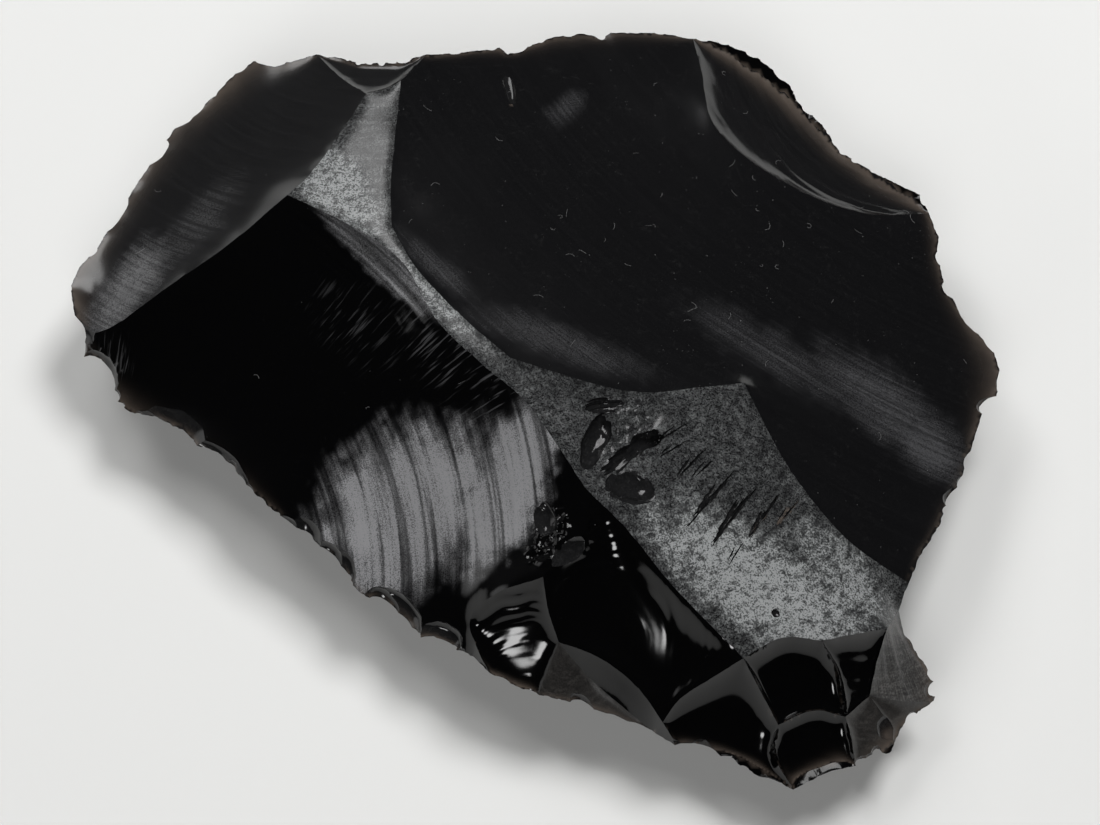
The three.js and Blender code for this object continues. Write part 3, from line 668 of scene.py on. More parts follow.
@dataclass
class Skin:
    """One side of the chunk as a mesh over the plan.

    Args:
        network: The traced edges.
        faces: The faces on this side.
        side: 1 for the upper side, -1 for the underside.
    """

    network: Network
    faces: tuple[FractureFace, ...]
    side: int

    def heights(self, face: FractureFace, loop: np.ndarray, spots: np.ndarray) -> np.ndarray:
        """Height of a face at some spots.

        Args:
            face: The face.
            loop: Its loop of corners.
            spots: Places inside it, in plan.

        Returns:
            The height at each spot.
        """
        height, depth = sheet(loop, spots)
        if face.name == "rest":
            return np.zeros(len(spots))
        share = np.clip(depth / depth.max(), 0, 1)
        is_gentle = face.gentle or self.side < 0
        bowl = smoothstep(0, 1, share) if is_gentle else 1 - (1 - share) ** 2
        height -= self.side * face.scoop * bowl
        x, y = spots.T
        fade = smoothstep(0, 0.6, depth)
        dx, dy = x - face.blow[0], y - face.blow[1]
        reach = np.hypot(dx, dy) + 0.5 * noise(x / 6, y / 6, 90) + 0.12 * noise(x / 1.6, y / 1.6, 91)
        turn = np.arctan2(dy, dx)
        relief = sum((ripple.wave(x, y, reach, turn) for ripple in face.ripples), np.zeros(len(x)))
        relief = relief + face.swell * noise(x / 3.2, y / 3.2, 92)
        relief = relief + sum((c.value(x, y) for c in CRUSHES if c.face == face.name), np.zeros(len(x)))
        return height + self.side * relief * fade

    def mesh(self) -> tuple[np.ndarray, np.ndarray, np.ndarray]:
        """Meshes this side.

        Returns:
            Its vertices, its triangles and the number of the face that each triangle is in.
        """
        keys: dict[tuple[float, float, float], int] = {}
        points: list[tuple[float, float, float]] = []
        loops: list[list[int]] = []
        for face in self.faces:
            ids = []
            for corner in map(tuple, self.network.loop(face).tolist()):
                if corner not in keys:
                    keys[corner] = len(points)
                    points.append(corner)
                ids.append(keys[corner])
            loops.append(ids)
        border = len(points)
        tree = KDTree(border)
        for i, (x, y, _) in enumerate(points):
            tree.insert((x, y, 0), i)
        tree.balance()
        for face, ids in zip(self.faces, loops):
            loop = np.array([points[i] for i in ids])
            spots = self._spots(face, loop)
            spots = spots[[tree.find((x, y, 0))[2] > 0.12 for x, y in spots]]
            if len(spots):
                points.extend(zip(spots[:, 0], spots[:, 1], self.heights(face, loop, spots)))
        places = [(x, y) for x, y, _ in points]
        out = delaunay_2d_cdt(places, [], loops, 1, 1e-6, True)
        vertices = np.array([points[ids[0]] for ids in out[3]])
        kept = [i for i, ids in enumerate(out[5]) if ids]
        triangles = np.array(out[2])[kept]
        owners = np.array([out[5][i][0] for i in kept])
        if self.side < 0:
            return vertices, triangles[:, ::-1], owners
        return self._ease_fold(vertices, triangles), triangles, owners

    def _ease_fold(self, vertices: np.ndarray, triangles: np.ndarray, reach: float = 3.2,
                   rounds: int = 60) -> np.ndarray:
        """Rounds the soft fold between the back and the sole.

        Args:
            vertices: The skin's vertices.
            triangles: Its triangles.
            reach: How far from the fold it is rounded, in millimetres.
            rounds: How many times the heights are averaged.

        Returns:
            The vertices, with the fold rounded.
        """
        fold = self.network.traced["fold"][:, :2]
        away = np.full(len(vertices), np.inf)
        for x, y in fold:
            away = np.minimum(away, np.hypot(vertices[:, 0] - x, vertices[:, 1] - y))
        ends = np.minimum(*(np.hypot(*(vertices[:, :2] - fold[i]).T) for i in (0, -1)))
        share = (1 - smoothstep(0, reach, away)) * smoothstep(0.3, 2.5, ends)
        pinned = [run for name, run in self.network.traced.items() if name != "fold"]
        still = {tuple(spot) for run in pinned for spot in run.tolist()}
        share *= [tuple(spot) not in still for spot in vertices.tolist()]
        links = np.vstack([triangles[:, [0, 1]], triangles[:, [1, 2]], triangles[:, [2, 0]]])
        links = links[share[links].max(1) > 0]
        count = np.bincount(links.ravel(), minlength=len(vertices)) + 1e-9
        height = vertices[:, 2].copy()
        for _ in range(rounds):
            total = np.bincount(links[:, 0], height[links[:, 1]], len(height))
            total += np.bincount(links[:, 1], height[links[:, 0]], len(height))
            height += share * (count > 1) * (total / count - height) * 0.8
        return np.column_stack([vertices[:, :2], height])

    def _spots(self, face: FractureFace, loop: np.ndarray) -> np.ndarray:
        """The places inside a face's loop where its mesh has vertices."""
        spots = self._grid(loop, face.grid)
        if face.fine:
            dense = self._grid(loop, face.grid / 2)
            inner, outer = (
                np.max([zone.value(*grid.T) for zone in face.fine], axis=0) for grid in (dense, spots))
            spots = np.vstack([spots[outer <= 0.02], dense[inner > 0.02]])
        return spots[inside(loop, spots)]

    @staticmethod
    def _grid(loop: np.ndarray, spacing: float) -> np.ndarray:
        """A triangular grid of places over a loop, nudged a little so that it shows no rows."""
        (x0, y0), (x1, y1) = loop[:, :2].min(0), loop[:, :2].max(0)
        xs, ys = np.arange(x0, x1, spacing), np.arange(y0, y1, spacing * 0.866)
        x, y = np.meshgrid(xs, ys)
        x[1::2] += spacing / 2
        spots = np.stack([x.ravel(), y.ravel()], 1)
        nudge = np.stack([lattice(*np.round(spots * 50).T, seed) for seed in (5, 6)], 1)
        return spots + nudge * spacing * 0.12


# ---------------------------------------------------------------------------------------------
# Mesh helpers
# ---------------------------------------------------------------------------------------------

def deselect() -> None:
    """Deselects everything, so that an operator acts only on what is meant."""
    for obj in bpy.context.selected_objects:
        obj.select_set(False)


def make_object(name: str, vertices: np.ndarray, triangles: np.ndarray) -> bpy.types.Object:
    """Makes a mesh object at the origin.

    Args:
        name: Name of the object and its mesh.
        vertices: Places, in metres.
        triangles: Vertex numbers of each triangle.

    Returns:
        The object, linked to the scene.
    """
    mesh = bpy.data.meshes.new(name)
    mesh.vertices.add(len(vertices))
    mesh.vertices.foreach_set("co", np.ascontiguousarray(vertices, np.float32).ravel())
    mesh.loops.add(3 * len(triangles))
    mesh.loops.foreach_set("vertex_index", np.ascontiguousarray(triangles, np.int32).ravel())
    mesh.polygons.add(len(triangles))
    mesh.polygons.foreach_set("loop_start", np.arange(0, 3 * len(triangles), 3, dtype=np.int32))
    mesh.update(calc_edges=True)
    mesh.validate()
    obj = bpy.data.objects.new(name, mesh)
    bpy.context.collection.objects.link(obj)
    return obj


def read(elements: Any, name: str, width: int, kind: type = float) -> np.ndarray:
    """Reads one property of many mesh elements into an array.

    Args:
        elements: A mesh collection, such as its vertices.
        name: The property.
        width: How many numbers each element has.
        kind: Type of the numbers.

    Returns:
        One row for each element.
    """
    values = np.zeros(len(elements) * width, np.float32 if kind is float else np.int32)
    elements.foreach_get(name, values)
    return values.reshape(-1, width) if width > 1 else values


def write_attribute(mesh: bpy.types.Mesh, name: str, kind: str, domain: str, values: np.ndarray) -> None:
    """Stores one value for each element of a mesh.

    Args:
        mesh: The mesh.
        name: Name of the attribute.
        kind: Its data type, such as FLOAT.
        domain: Where it is stored, such as CORNER.
        values: The values.
    """
    old = mesh.attributes.get(name)
    if old:
        mesh.attributes.remove(old)
    layer = mesh.attributes.new(name, kind, domain)
    field_name = "vector" if kind == "FLOAT_VECTOR" else "value"
    layer.data.foreach_set(field_name, np.ascontiguousarray(values).ravel())


def base_shape(kind: str, **sizes: float) -> tuple[np.ndarray, np.ndarray]:
    """Models a small shape once with an operator and returns its triangles, to be copied.

    Args:
        kind: Name of the primitive, such as uv_sphere.
        sizes: The operator's own settings.

    Returns:
        Its vertices and triangles.
    """
    deselect()
    getattr(bpy.ops.mesh, f"primitive_{kind}_add")(**sizes)
    obj = bpy.context.object
    bpy.ops.object.mode_set(mode="EDIT")
    bpy.ops.mesh.select_all(action="SELECT")
    bpy.ops.mesh.quads_convert_to_tris()
    bpy.ops.object.mode_set(mode="OBJECT")
    vertices = read(obj.data.vertices, "co", 3).astype(float)
    triangles = read(obj.data.loops, "vertex_index", 1, int).reshape(-1, 3)
    bpy.data.objects.remove(obj, do_unlink=True)
    return vertices, triangles


# ---------------------------------------------------------------------------------------------
# Flakes struck off the chunk
# ---------------------------------------------------------------------------------------------

@dataclass(frozen=True)
class Flake:
    """A flake scar: a shallow hollow cut by an oval.

    Args:
        x: Middle of the scar in plan, in millimetres.
        y: Middle of the scar.
        width: Its size across.
        depth: How deep it bites.
        heading: Direction that it faces, in plan, in degrees.
        rise: How far it faces upwards, in degrees.
        length: Its size along its turn, or 0 for a round one.
        turn: Direction of its length, in degrees about the way it faces.
        ripple: Height of the ripples in it.
        waves: How many ripples.
        z: Height of its middle, or None to find the surface from above.
    """

    x: float
    y: float
    width: float
    depth: float
    heading: float = 0.0
    rise: float = 90.0
    length: float = 0.0
    turn: float = 0.0
    ripple: float = 0.04
    waves: float = 5.0
    z: float | None = None

    def frame(self) -> np.ndarray:
        """Its own axes as rows: along its length, across it and outwards."""
        heading, rise = math.radians(self.heading), math.radians(self.rise)
        flat = math.cos(rise)
        out = np.array([math.cos(heading) * flat, math.sin(heading) * flat, math.sin(rise)])
        side = np.array([-math.sin(heading), math.cos(heading), 0.0])
        over = np.cross(out, side)
        turn = math.radians(self.turn)
        along = side * math.cos(turn) + over * math.sin(turn)
        return np.array([along, np.cross(out, along), out])

    def radii(self) -> np.ndarray:
        """Half-sizes of the oval that cuts it."""
        bow = (self.width ** 2 / 4 + self.depth ** 2) / (2 * self.depth)
        half = max(bow, self.width / 2)
        stretch = self.length / self.width if self.length else 1.0
        return np.array([half * stretch, half, bow])


SLIT_LINES = (
    (12.2, -9.8, 15.2, -7.8, 0.2), (12.2, -11.5, 14.8, -9.8, 0.2), (13.9, -13.5, 16.6, -10.5, 0.3),
    (15.4, -13.5, 17.8, -11.0, 0.22), (15.3, -17.6, 19.9, -11.8, 0.42), (17.4, -19.4, 22.5, -12.3, 0.5),
    (20.8, -18.9, 24.0, -13.8, 0.4), (23.7, -17.2, 25.4, -15.1, 0.2), (18.9, -21.4, 20.1, -19.4, 0.2),
)
STRUCK_FLAKES = (
    Flake(-38.2, -3.4, 6.5, 0.9, 235, 40, 9, 0, 0.12, 7, 9.2),
    Flake(-36.2, -2.6, 5.0, 0.6, 235, 52, 7, 0, 0.1, 7, 10.2),
    Flake(-30.8, -7.6, 5.4, 0.8, 228, 42, 7.5, 0, 0.1, 7, 9.8),
    Flake(-22.4, -15.0, 4.0, 0.8, 225, 50, 4.4, 0, 0.03, 3, 9.2),
    Flake(-18.6, -18.6, 3.4, 0.7, 222, 50, 3.8, 0, 0.03, 3, 9.0),
    Flake(-13.4, -22.8, 4.2, 0.8, 230, 46, 6.0, 0, 0.09, 6, 8.8),
    Flake(-8.8, -25.6, 3.2, 0.7, 240, 46, 4.4, 0, 0.06, 6, 8.8),
    Flake(-43.4, 2.2, 4.4, 0.8, 200, 50, 5, 0, 0.08, 4, 7.8),
    Flake(6.2, -9.8, 2.2, 0.9, 150, 62, 6.4, 14, 0.05, 6),
    Flake(10.2, -10.6, 1.7, 1.2, 318, 62, 9.6, -10, 0.05, 6),
    Flake(9.0, -15.8, 3.0, 0.4, 50, 70, 4.6, 30, 0.2, 7),
    Flake(7.4, -6.2, 1.5, 0.4, 250, 66, 4.4, 20, 0.12, 7),
    Flake(1.2, -17.2, 2.2, 0.6, 200, 55, 3.0, 0, 0.08, 4),
    Flake(3.6, -20.8, 3.0, 0.6, 280, 50, 4.6, 0, 0.08, 5),
    Flake(-2.6, 33.0, 0.8, 0.12, 180, 86, 4.0, 10, 0.02, 3),
    Flake(23.2, -26.2, 0.8, 0.2, 0, 88, 0, 0, 0.0, 1),
    Flake(38.6, -30.2, 1.6, 0.3, 330, 50, 0, 0, 0.04, 3),
    Flake(36.0, -34.0, 2.6, 0.5, 300, 50, 0, 0, 0.06, 4),
    Flake(33.4, -37.4, 3.0, 0.6, 280, 55, 0, 0, 0.06, 4),
    Flake(16.4, -36.6, 3.2, 0.5, 255, 50, 5, 0, 0.06, 4),
)
BITTEN_RIMS = {
    "rimCrown": 1.6, "rimBack": 2.4, "rimShell": 1.3, "rimEast": 2.6, "rimFold": 2.6, "rimSpur": 1.3,
    "rimSpurFoot": 1.0, "rimScallop": 1.2, "rimToe": 1.6, "rimFront": 2.2, "rimGrey": 1.8, "rimLobe": 1.0,
    "rimFace": 1.4, "rimWest": 1.2, "rimLeaf": 3.2,
}


@dataclass
class Carver:
    """Cuts the flake scars, slits and rim nicks out of the chunk.

    Args:
        network: The traced edges, whose rims get nicks.
        seed: Seed of the nicks.
        first_id: Number of the first scar among the fracture faces.
    """

    network: Network
    seed: int = 23
    first_id: int = 100
    origins: dict[int, tuple[float, float]] = field(default_factory=dict)

    def nicks(self) -> list[Flake]:
        """Draws the small nicks along the rims.

        Returns:
            The nicks.
        """
        dice = random.Random(self.seed)
        nicks = []
        for name, spacing in BITTEN_RIMS.items():
            samples = self.network.traced[name]
            step = float(np.linalg.norm(np.diff(samples[:, :2], axis=0), axis=1).mean())
            i = dice.uniform(0.3, 1) * spacing / step
            while i < len(samples) - 2:
                k = int(i)
                x, y, z = samples[k]
                tx, ty = samples[k + 1][:2] - samples[k][:2]
                heading = math.degrees(math.atan2(-tx, ty))
                if x * math.cos(math.radians(heading)) + y * math.sin(math.radians(heading)) < 0:
                    heading += 180
                size = 0.35 + dice.random() ** 3 * spacing * 0.9
                rise = dice.choice((1, 1, -1)) * dice.uniform(15, 60)
                depth = size * dice.uniform(0.08, 0.2)
                heading += dice.uniform(-25, 25)
                length = size * dice.uniform(1, 1.9)
                nicks.append(Flake(x, y, size, depth, heading, rise, length, 0, 0.02, 3, z))
                i += dice.uniform(0.5, 1.6) * spacing / step
        return nicks

    @staticmethod
    def slits() -> list[Flake]:
        """The small tears in the sole, each a narrow deep oval with a shorter one beside it."""
        cuts = []
        for x0, y0, x1, y1, wide in SLIT_LINES:
            length = math.hypot(x1 - x0, y1 - y0)
            turn = math.degrees(math.atan2(y1 - y0, x1 - x0))
            cuts.append(Flake((x0 + x1) / 2, (y0 + y1) / 2, wide, wide * 0.9, turn - 90, 84,
                              length, 0, 0.03, 9))
            x, y = x0 + (x1 - x0) * 0.3 - 0.25, y0 + (y1 - y0) * 0.3 + 0.2
            cuts.append(Flake(x, y, wide * 0.9, wide * 0.7, turn - 90, 76, length * 0.5, 6, 0.02, 7))
        return cuts

    def strike(self, body: bpy.types.Object, flakes: list[Flake],
               shape: tuple[np.ndarray, np.ndarray]) -> int:
        """Cuts flakes out of the body, in batches of flakes that don't overlap.

        Args:
            body: The chunk.
            flakes: The flakes.
            shape: Vertices and triangles of a unit sphere with its poles on Z.

        Returns:
            The number of batches.
        """
        tree = BVHTree.FromObject(body, bpy.context.evaluated_depsgraph_get())
        batches: list[list[tuple[np.ndarray, float, np.ndarray, int]]] = []
        for number, flake in enumerate(flakes):
            middle = self._seat(tree, flake)
            axes, radii = flake.frame(), flake.radii()
            centre = middle + axes[2] * (radii[2] - flake.depth)
            sphere, _ = shape
            tilt = math.asin(min(1.0, flake.width / 2 / radii[1]))
            facing = -sphere[:, 1] * math.sin(tilt) - sphere[:, 2] * math.cos(tilt)
            rings = np.arccos(np.clip(facing, -1, 1)) * radii[1] / flake.width * flake.waves
            swell = noise(rings * 2, np.full(len(sphere), number * 3.7), 60)
            u, v = (sphere[:, i] * radii[i] / flake.width * 1.8 + number * 5.1 for i in (0, 1))
            lumps = noise(u, v, 61) * 0.24 + noise(u * 2.7, v * 2.7, 62) * 0.06
            size = 1 + (flake.ripple * swell + flake.depth * lumps)[:, None] / radii[2]
            copy = (sphere * size * radii) @ axes + centre
            face_id = self.first_id + len(self.origins)
            self.origins[face_id] = (float(middle[0] + axes[2][0] * flake.width), float(
                middle[1] + axes[2][1] * flake.width))
            reach = float(radii.max())
            for batch in batches:
                if all(np.linalg.norm(centre - c) > reach + r + 0.05 for c, r, *_ in batch):
                    batch.append((centre, reach, copy, face_id))
                    break
            else:
                batches.append([(centre, reach, copy, face_id)])
        for batch in batches:
            self._cut(body, batch, shape[1])
        return len(batches)

    @staticmethod
    def _seat(tree: BVHTree, flake: Flake) -> np.ndarray:
        """Finds where on the chunk a flake's middle lies, in millimetres."""
        if flake.z is None:
            hit = tree.ray_cast(Vector((flake.x * MM, flake.y * MM, 0.1)), Vector((0, 0, -1)))[0]
            if hit is not None:
                return np.array(hit) / MM
        start = Vector((flake.x * MM, flake.y * MM, (flake.z if flake.z is not None else 8.0) * MM))
        return np.array(tree.find_nearest(start)[0]) / MM

    def _cut(self, body: bpy.types.Object, batch: list[tuple[np.ndarray, float, np.ndarray, int]],
             triangles: np.ndarray) -> None:
        """Cuts one batch out of the body."""
        count = len(batch[0][2])
        vertices = np.vstack([copy for _, _, copy, _ in batch]) * MM
        faces = np.vstack([triangles + i * count for i in range(len(batch))])
        cutter = make_object("cutter", vertices, faces)
        ids = np.repeat([face_id for *_, face_id in batch], len(triangles)).astype(np.int32)
        write_attribute(cutter.data, "fracture", "INT", "FACE", ids)
        for slot in body.data.materials:
            cutter.data.materials.append(slot)
        finish = np.full(len(faces), Finish.FLAKE.value, np.int32)
        cutter.data.polygons.foreach_set("material_index", finish)
        deselect()
        body.select_set(True)
        bpy.context.view_layer.objects.active = body
        strike = body.modifiers.new("strike", "BOOLEAN")
        strike.operation = "DIFFERENCE"
        strike.solver = "MANIFOLD"
        strike.object = cutter
        bpy.ops.object.modifier_apply(modifier=strike.name)
        bpy.data.objects.remove(cutter, do_unlink=True)


# ---------------------------------------------------------------------------------------------
# Materials
# ---------------------------------------------------------------------------------------------

class Signal:
    """A number that varies over a surface: a socket with arithmetic."""

    def __init__(self, graph: Graph, socket: bpy.types.NodeSocket) -> None:
        """Wraps a socket of a graph."""
        self.graph = graph
        self.socket = socket

    def _math(self, operation: str, *values: Any, clamp: bool = False) -> Signal:
        """Adds a Math node.

        Args:
            operation: The Math node's operation.
            *values: Its inputs, as signals or numbers.
            clamp: Whether its result is kept from 0 to 1.

        Returns:
            Its result.
        """
        settings = {"operation": operation, "use_clamp": clamp}
        return self.graph.node("ShaderNodeMath", settings, dict(enumerate(values))).signal()

    def __add__(self, other: Any) -> Signal:
        """Sum."""
        return self._math("ADD", self, other)

    __radd__ = __add__

    def __sub__(self, other: Any) -> Signal:
        """Difference."""
        return self._math("SUBTRACT", self, other)

    def __rsub__(self, other: Any) -> Signal:
        """Difference, the other way round."""
        return self._math("SUBTRACT", other, self)

    def __mul__(self, other: Any) -> Signal:
        """Product."""
        return self._math("MULTIPLY", self, other)

    __rmul__ = __mul__

    def clamped(self) -> Signal:
        """Kept from 0 to 1."""
        return self._math("ADD", self, 0.0, clamp=True)

    def rise(self, low: float, high: float) -> Signal:
        """Rises smoothly from 0 at low to 1 at high."""
        return self.graph.node("ShaderNodeMapRange", {"interpolation_type": "SMOOTHSTEP"},
                               {"Value": self, "From Min": low, "From Max": high}).signal()


class NodeResult:
    """A node that has just been added, and its outputs."""

    def __init__(self, graph: Graph, node: bpy.types.Node) -> None:
        """Keeps the node with its graph."""
        self.graph = graph
        self.node = node

    def socket(self, name: str | int = 0) -> bpy.types.NodeSocket:
        """One of its outputs, for a colour, vector or shader."""
        return self.node.outputs[name]

    def signal(self, name: str | int = 0) -> Signal:
        """One of its outputs, for arithmetic."""
        return Signal(self.graph, self.node.outputs[name])


class Graph:
    """The node tree of a material or of the world."""

    def __init__(self, tree: bpy.types.NodeTree) -> None:
        """Empties the tree."""
        self.tree = tree
        tree.nodes.clear()

    def node(self, kind: str, settings: dict[str, Any] | None = None,
             inputs: dict[str | int, Any] | None = None) -> NodeResult:
        """Adds a node.

        Args:
            kind: The node's type.
            settings: Its own settings, set first.
            inputs: Values or links of its sockets.

        Returns:
            The node and its outputs.
        """
        node = self.tree.nodes.new(kind)
        for name, value in (settings or {}).items():
            setattr(node, name, value)
        for name, value in (inputs or {}).items():
            if isinstance(value, Signal):
                value = value.socket
            if isinstance(value, bpy.types.NodeSocket):
                self.tree.links.new(value, node.inputs[name])
            else:
                node.inputs[name].default_value = value
        return NodeResult(self, node)

    def attribute(self, name: str) -> NodeResult:
        """Reads an attribute that the mesh stores."""
        return self.node("ShaderNodeAttribute", {"attribute_name": name})

    def stretched(self, vector: bpy.types.NodeSocket, scale: Point) -> bpy.types.NodeSocket:
        """Multiplies a vector by a scale for each axis."""
        return self.node("ShaderNodeVectorMath", {"operation": "MULTIPLY"}, {0: vector, 1: scale}).socket()

    def noise(self, vector: bpy.types.NodeSocket, scale: float, detail: float = 2.0,
              roughness: float = 0.5) -> Signal:
        """Adds noise over a vector."""
        return self.node("ShaderNodeTexNoise", {}, {"Vector": vector, "Scale": scale, "Detail": detail,
                                                    "Roughness": roughness}).signal()

    def blend(self, factor: Any, first: Any, second: Any) -> bpy.types.NodeSocket:
        """Mixes two colours."""
        result = self.node("ShaderNodeMix", {"data_type": "RGBA"}, {0: factor, 6: first, 7: second})
        return result.socket(2)


def rgba(colour: Colour) -> tuple[float, float, float, float]:
    """A colour with full alpha."""
    return (*colour, 1.0)


SCRATCH_AND_GLINT_GREY = (0.12, 0.12, 0.125)
PAINTED_THIN_GLOW_BROWN = (0.07, 0.056, 0.046)
DUST_GREY = (0.5, 0.5, 0.49)


@dataclass(frozen=True)
class GlassFinish:
    """How one kind of fracture surface looks.

    Args:
        label: Its name.
        deep: Colour of the clear black glass.
        frost_sheen: Colour where the surface is frosted, partly a painted sheen for the lamp light that
            rough glass scatters.
        polish: Roughness of the clear glass.
        matt: Roughness where it is frosted.
        cover: How frosted it is everywhere, from 0 to 1, which also sets how much painted sheen it gets.
        grain: Size of the frosted grain, in millimetres.
        contrast: How much the grain breaks up the frost.
        ripple: Height of the fine ripples, in millimetres.
        ripple_length: Distance between them.
        hackle: Height of the fine lines that fan out from the blow.
        dust: How much dust lies on it.
        band: How much wide bands about the blow break up the frost.
        streak: How much lines that fan out from the blow break it up.
        mottle: How much fine patches break it up.
    """

    label: str
    deep: Colour
    frost_sheen: Colour
    polish: float
    matt: float
    cover: float = 0.0
    grain: float = 0.14
    contrast: float = 0.5
    ripple: float = 0.0006
    ripple_length: float = 0.5
    hackle: float = 0.0005
    dust: float = 0.3
    band: float = 0.0
    streak: float = 0.0
    mottle: float = 0.0

    def material(self) -> bpy.types.Material:
        """Makes the material.

        Returns:
            The material.
        """
        material = bpy.data.materials.new(f"obsidian {self.label}")
        material.use_nodes = True
        graph = Graph(material.node_tree)
        place = graph.node("ShaderNodeTexCoord").socket("Object")
        fan = graph.attribute("fan").socket("Vector")
        # The frosted mask carries both real frosting and painted sheen.
        frosted, hackled = (graph.attribute(name).signal("Fac") for name in ("frost_sheen", "hackle"))
        thin = graph.attribute("thin").signal("Fac")

        grain = graph.noise(place, 1 / (self.grain * MM), 3, 0.6)
        clouds = graph.noise(place, 1 / (2.2 * MM), 3, 0.6)
        worn = graph.noise(graph.stretched(fan, (0.16, 2.2, 1)), 1.3, 4, 0.65)
        rings = graph.noise(graph.stretched(fan, (0.12, 1 / self.ripple_length, 1)), 1.0, 2)
        lines = graph.noise(graph.stretched(fan, (6.5, 0.3, 1)), 1.0, 2)
        cover = (frosted + self.cover + (clouds - 0.5) * 0.5 * frosted).clamped()
        broken = cover * (1 - self.contrast + self.contrast * 2 * grain.rise(0.38, 0.62))
        broken = broken * (0.55 + 0.9 * (1 - self.mottle) * worn.rise(0.3, 0.7) + 0.45 * self.mottle)
        broken = broken * (0.75 + 0.5 * rings.rise(0.35, 0.65) * (1 - self.cover))
        bands = graph.noise(graph.stretched(fan, (0.05, 0.7, 1)), 1.0, 2, 0.7)
        broken = broken * (1 - self.band + 2 * self.band * bands.rise(0.36, 0.64)) * (
            1 - self.streak + 2 * self.streak * lines.rise(0.3, 0.7))
        crumbs = graph.noise(place, 1 / (0.75 * MM), 5, 0.75)
        broken = broken * (1 - self.mottle + 2 * self.mottle * crumbs.rise(0.34, 0.66))
        scratches_and_glints = hackled * lines.rise(0.55, 0.72)
        film = graph.noise(place, 1 / (0.5 * MM), 4, 0.7).rise(0.5, 0.8)
        film = film * clouds.rise(0.4, 0.75) * self.dust
        flecks = graph.node("ShaderNodeTexVoronoi", {}, {"Vector": place, "Scale": 1 / (0.9 * MM)})
        specks = (1 - flecks.signal("Distance").rise(0.03, 0.07)) * clouds.rise(0.45, 0.7) * self.dust

        # Painted sheen: greys the black glass towards the frosted colour, partly real frosting and partly
        # standing in for lamp light scattered by rough glass.
        tint = graph.blend(broken.clamped(), rgba(self.deep), rgba(self.frost_sheen))
        # Scratch grey: real hackle scratches, lightened as a painted glint along the hackle lines.
        tint = graph.blend((scratches_and_glints * 0.3).clamped(), tint, rgba(SCRATCH_AND_GLINT_GREY))
        # Painted glow: thin rims are tinted brown to stand in for light shining through the glass.
        tint = graph.blend((thin * (0.5 + 0.6 * clouds)).clamped(), tint, rgba(PAINTED_THIN_GLOW_BROWN))
        tint = graph.blend((film * 0.014 + specks * 0.2).clamped(), tint, rgba(DUST_GREY))
        rough = self.polish + (self.matt - self.polish) * cover + 0.15 * scratches_and_glints + 0.08 * film
        pits = (grain * 0.02 + worn * 0.02 + crumbs * (0.05 * self.mottle)) * cover
        fine = graph.noise(place, 1 / (0.35 * MM), 2) * 0.0006
        height = rings * self.ripple + pits + lines * (self.hackle + 0.012 * hackled) + fine
        bump = graph.node("ShaderNodeBump", {}, {"Strength": 1.0, "Distance": MM, "Height": height})
        shader = graph.node("ShaderNodeBsdfPrincipled", {}, {
            "Base Color": tint, "Roughness": rough.clamped(), "IOR": 1.49, "Specular IOR Level": 0.38,
            "Normal": bump.socket()})
        graph.node("ShaderNodeOutputMaterial", {}, {"Surface": shader.socket()})
        return material


BLACK_GLASS = (0.0008, 0.0008, 0.0009)
# The frosted colours of the satin, frosted fan and leaf finishes are partly painted sheen: they stand in
# for lamp light that rough glass scatters.
FINISHES = {
    Finish.POLISHED: GlassFinish("polished", BLACK_GLASS, (0.05, 0.05, 0.052), 0.07, 0.4, dust=0.15),
    Finish.BACK: GlassFinish("dusty back", (0.0028, 0.0028, 0.0031), (0.04, 0.04, 0.042), 0.18, 0.36,
                             0.02, dust=1.0),
    Finish.LEAF: GlassFinish("smooth leaf", (0.0035, 0.0035, 0.0038), (0.09, 0.09, 0.092), 0.16, 0.3, 0.02,
                             dust=0.25),
    Finish.SATIN: GlassFinish("satin", (0.005, 0.005, 0.0054), (0.2, 0.207, 0.207), 0.22, 0.5, 0.1, 0.17,
                              0.8, 0.0015, 0.7, 0.0015, 0.35, streak=0.2, mottle=0.8),
    Finish.BROAD: GlassFinish("frosted fan", BLACK_GLASS, (0.165, 0.165, 0.17), 0.08, 0.48, 0.0, 0.12, 0.6,
                              0.006, 0.55, 0.0006, 0.12, band=0.75),
    Finish.HACKLED: GlassFinish("hackled", (0.01, 0.01, 0.0105), (0.08, 0.078, 0.075), 0.2, 0.5, 0.5, 0.2,
                                0.5, 0.002, 0.5, 0.02, 0.2, streak=0.5),
    Finish.FLAKE: GlassFinish("fresh flake", (0.004, 0.004, 0.0043), (0.06, 0.06, 0.06), 0.09, 0.4, 0.06,
                              ripple=0.0015, ripple_length=0.4, dust=0.1),
    Finish.LIP: GlassFinish("worn lip", (0.006, 0.0057, 0.0055), (0.05, 0.047, 0.044), 0.2, 0.45, 0.3),
}


# ---------------------------------------------------------------------------------------------
# The chunk
# ---------------------------------------------------------------------------------------------

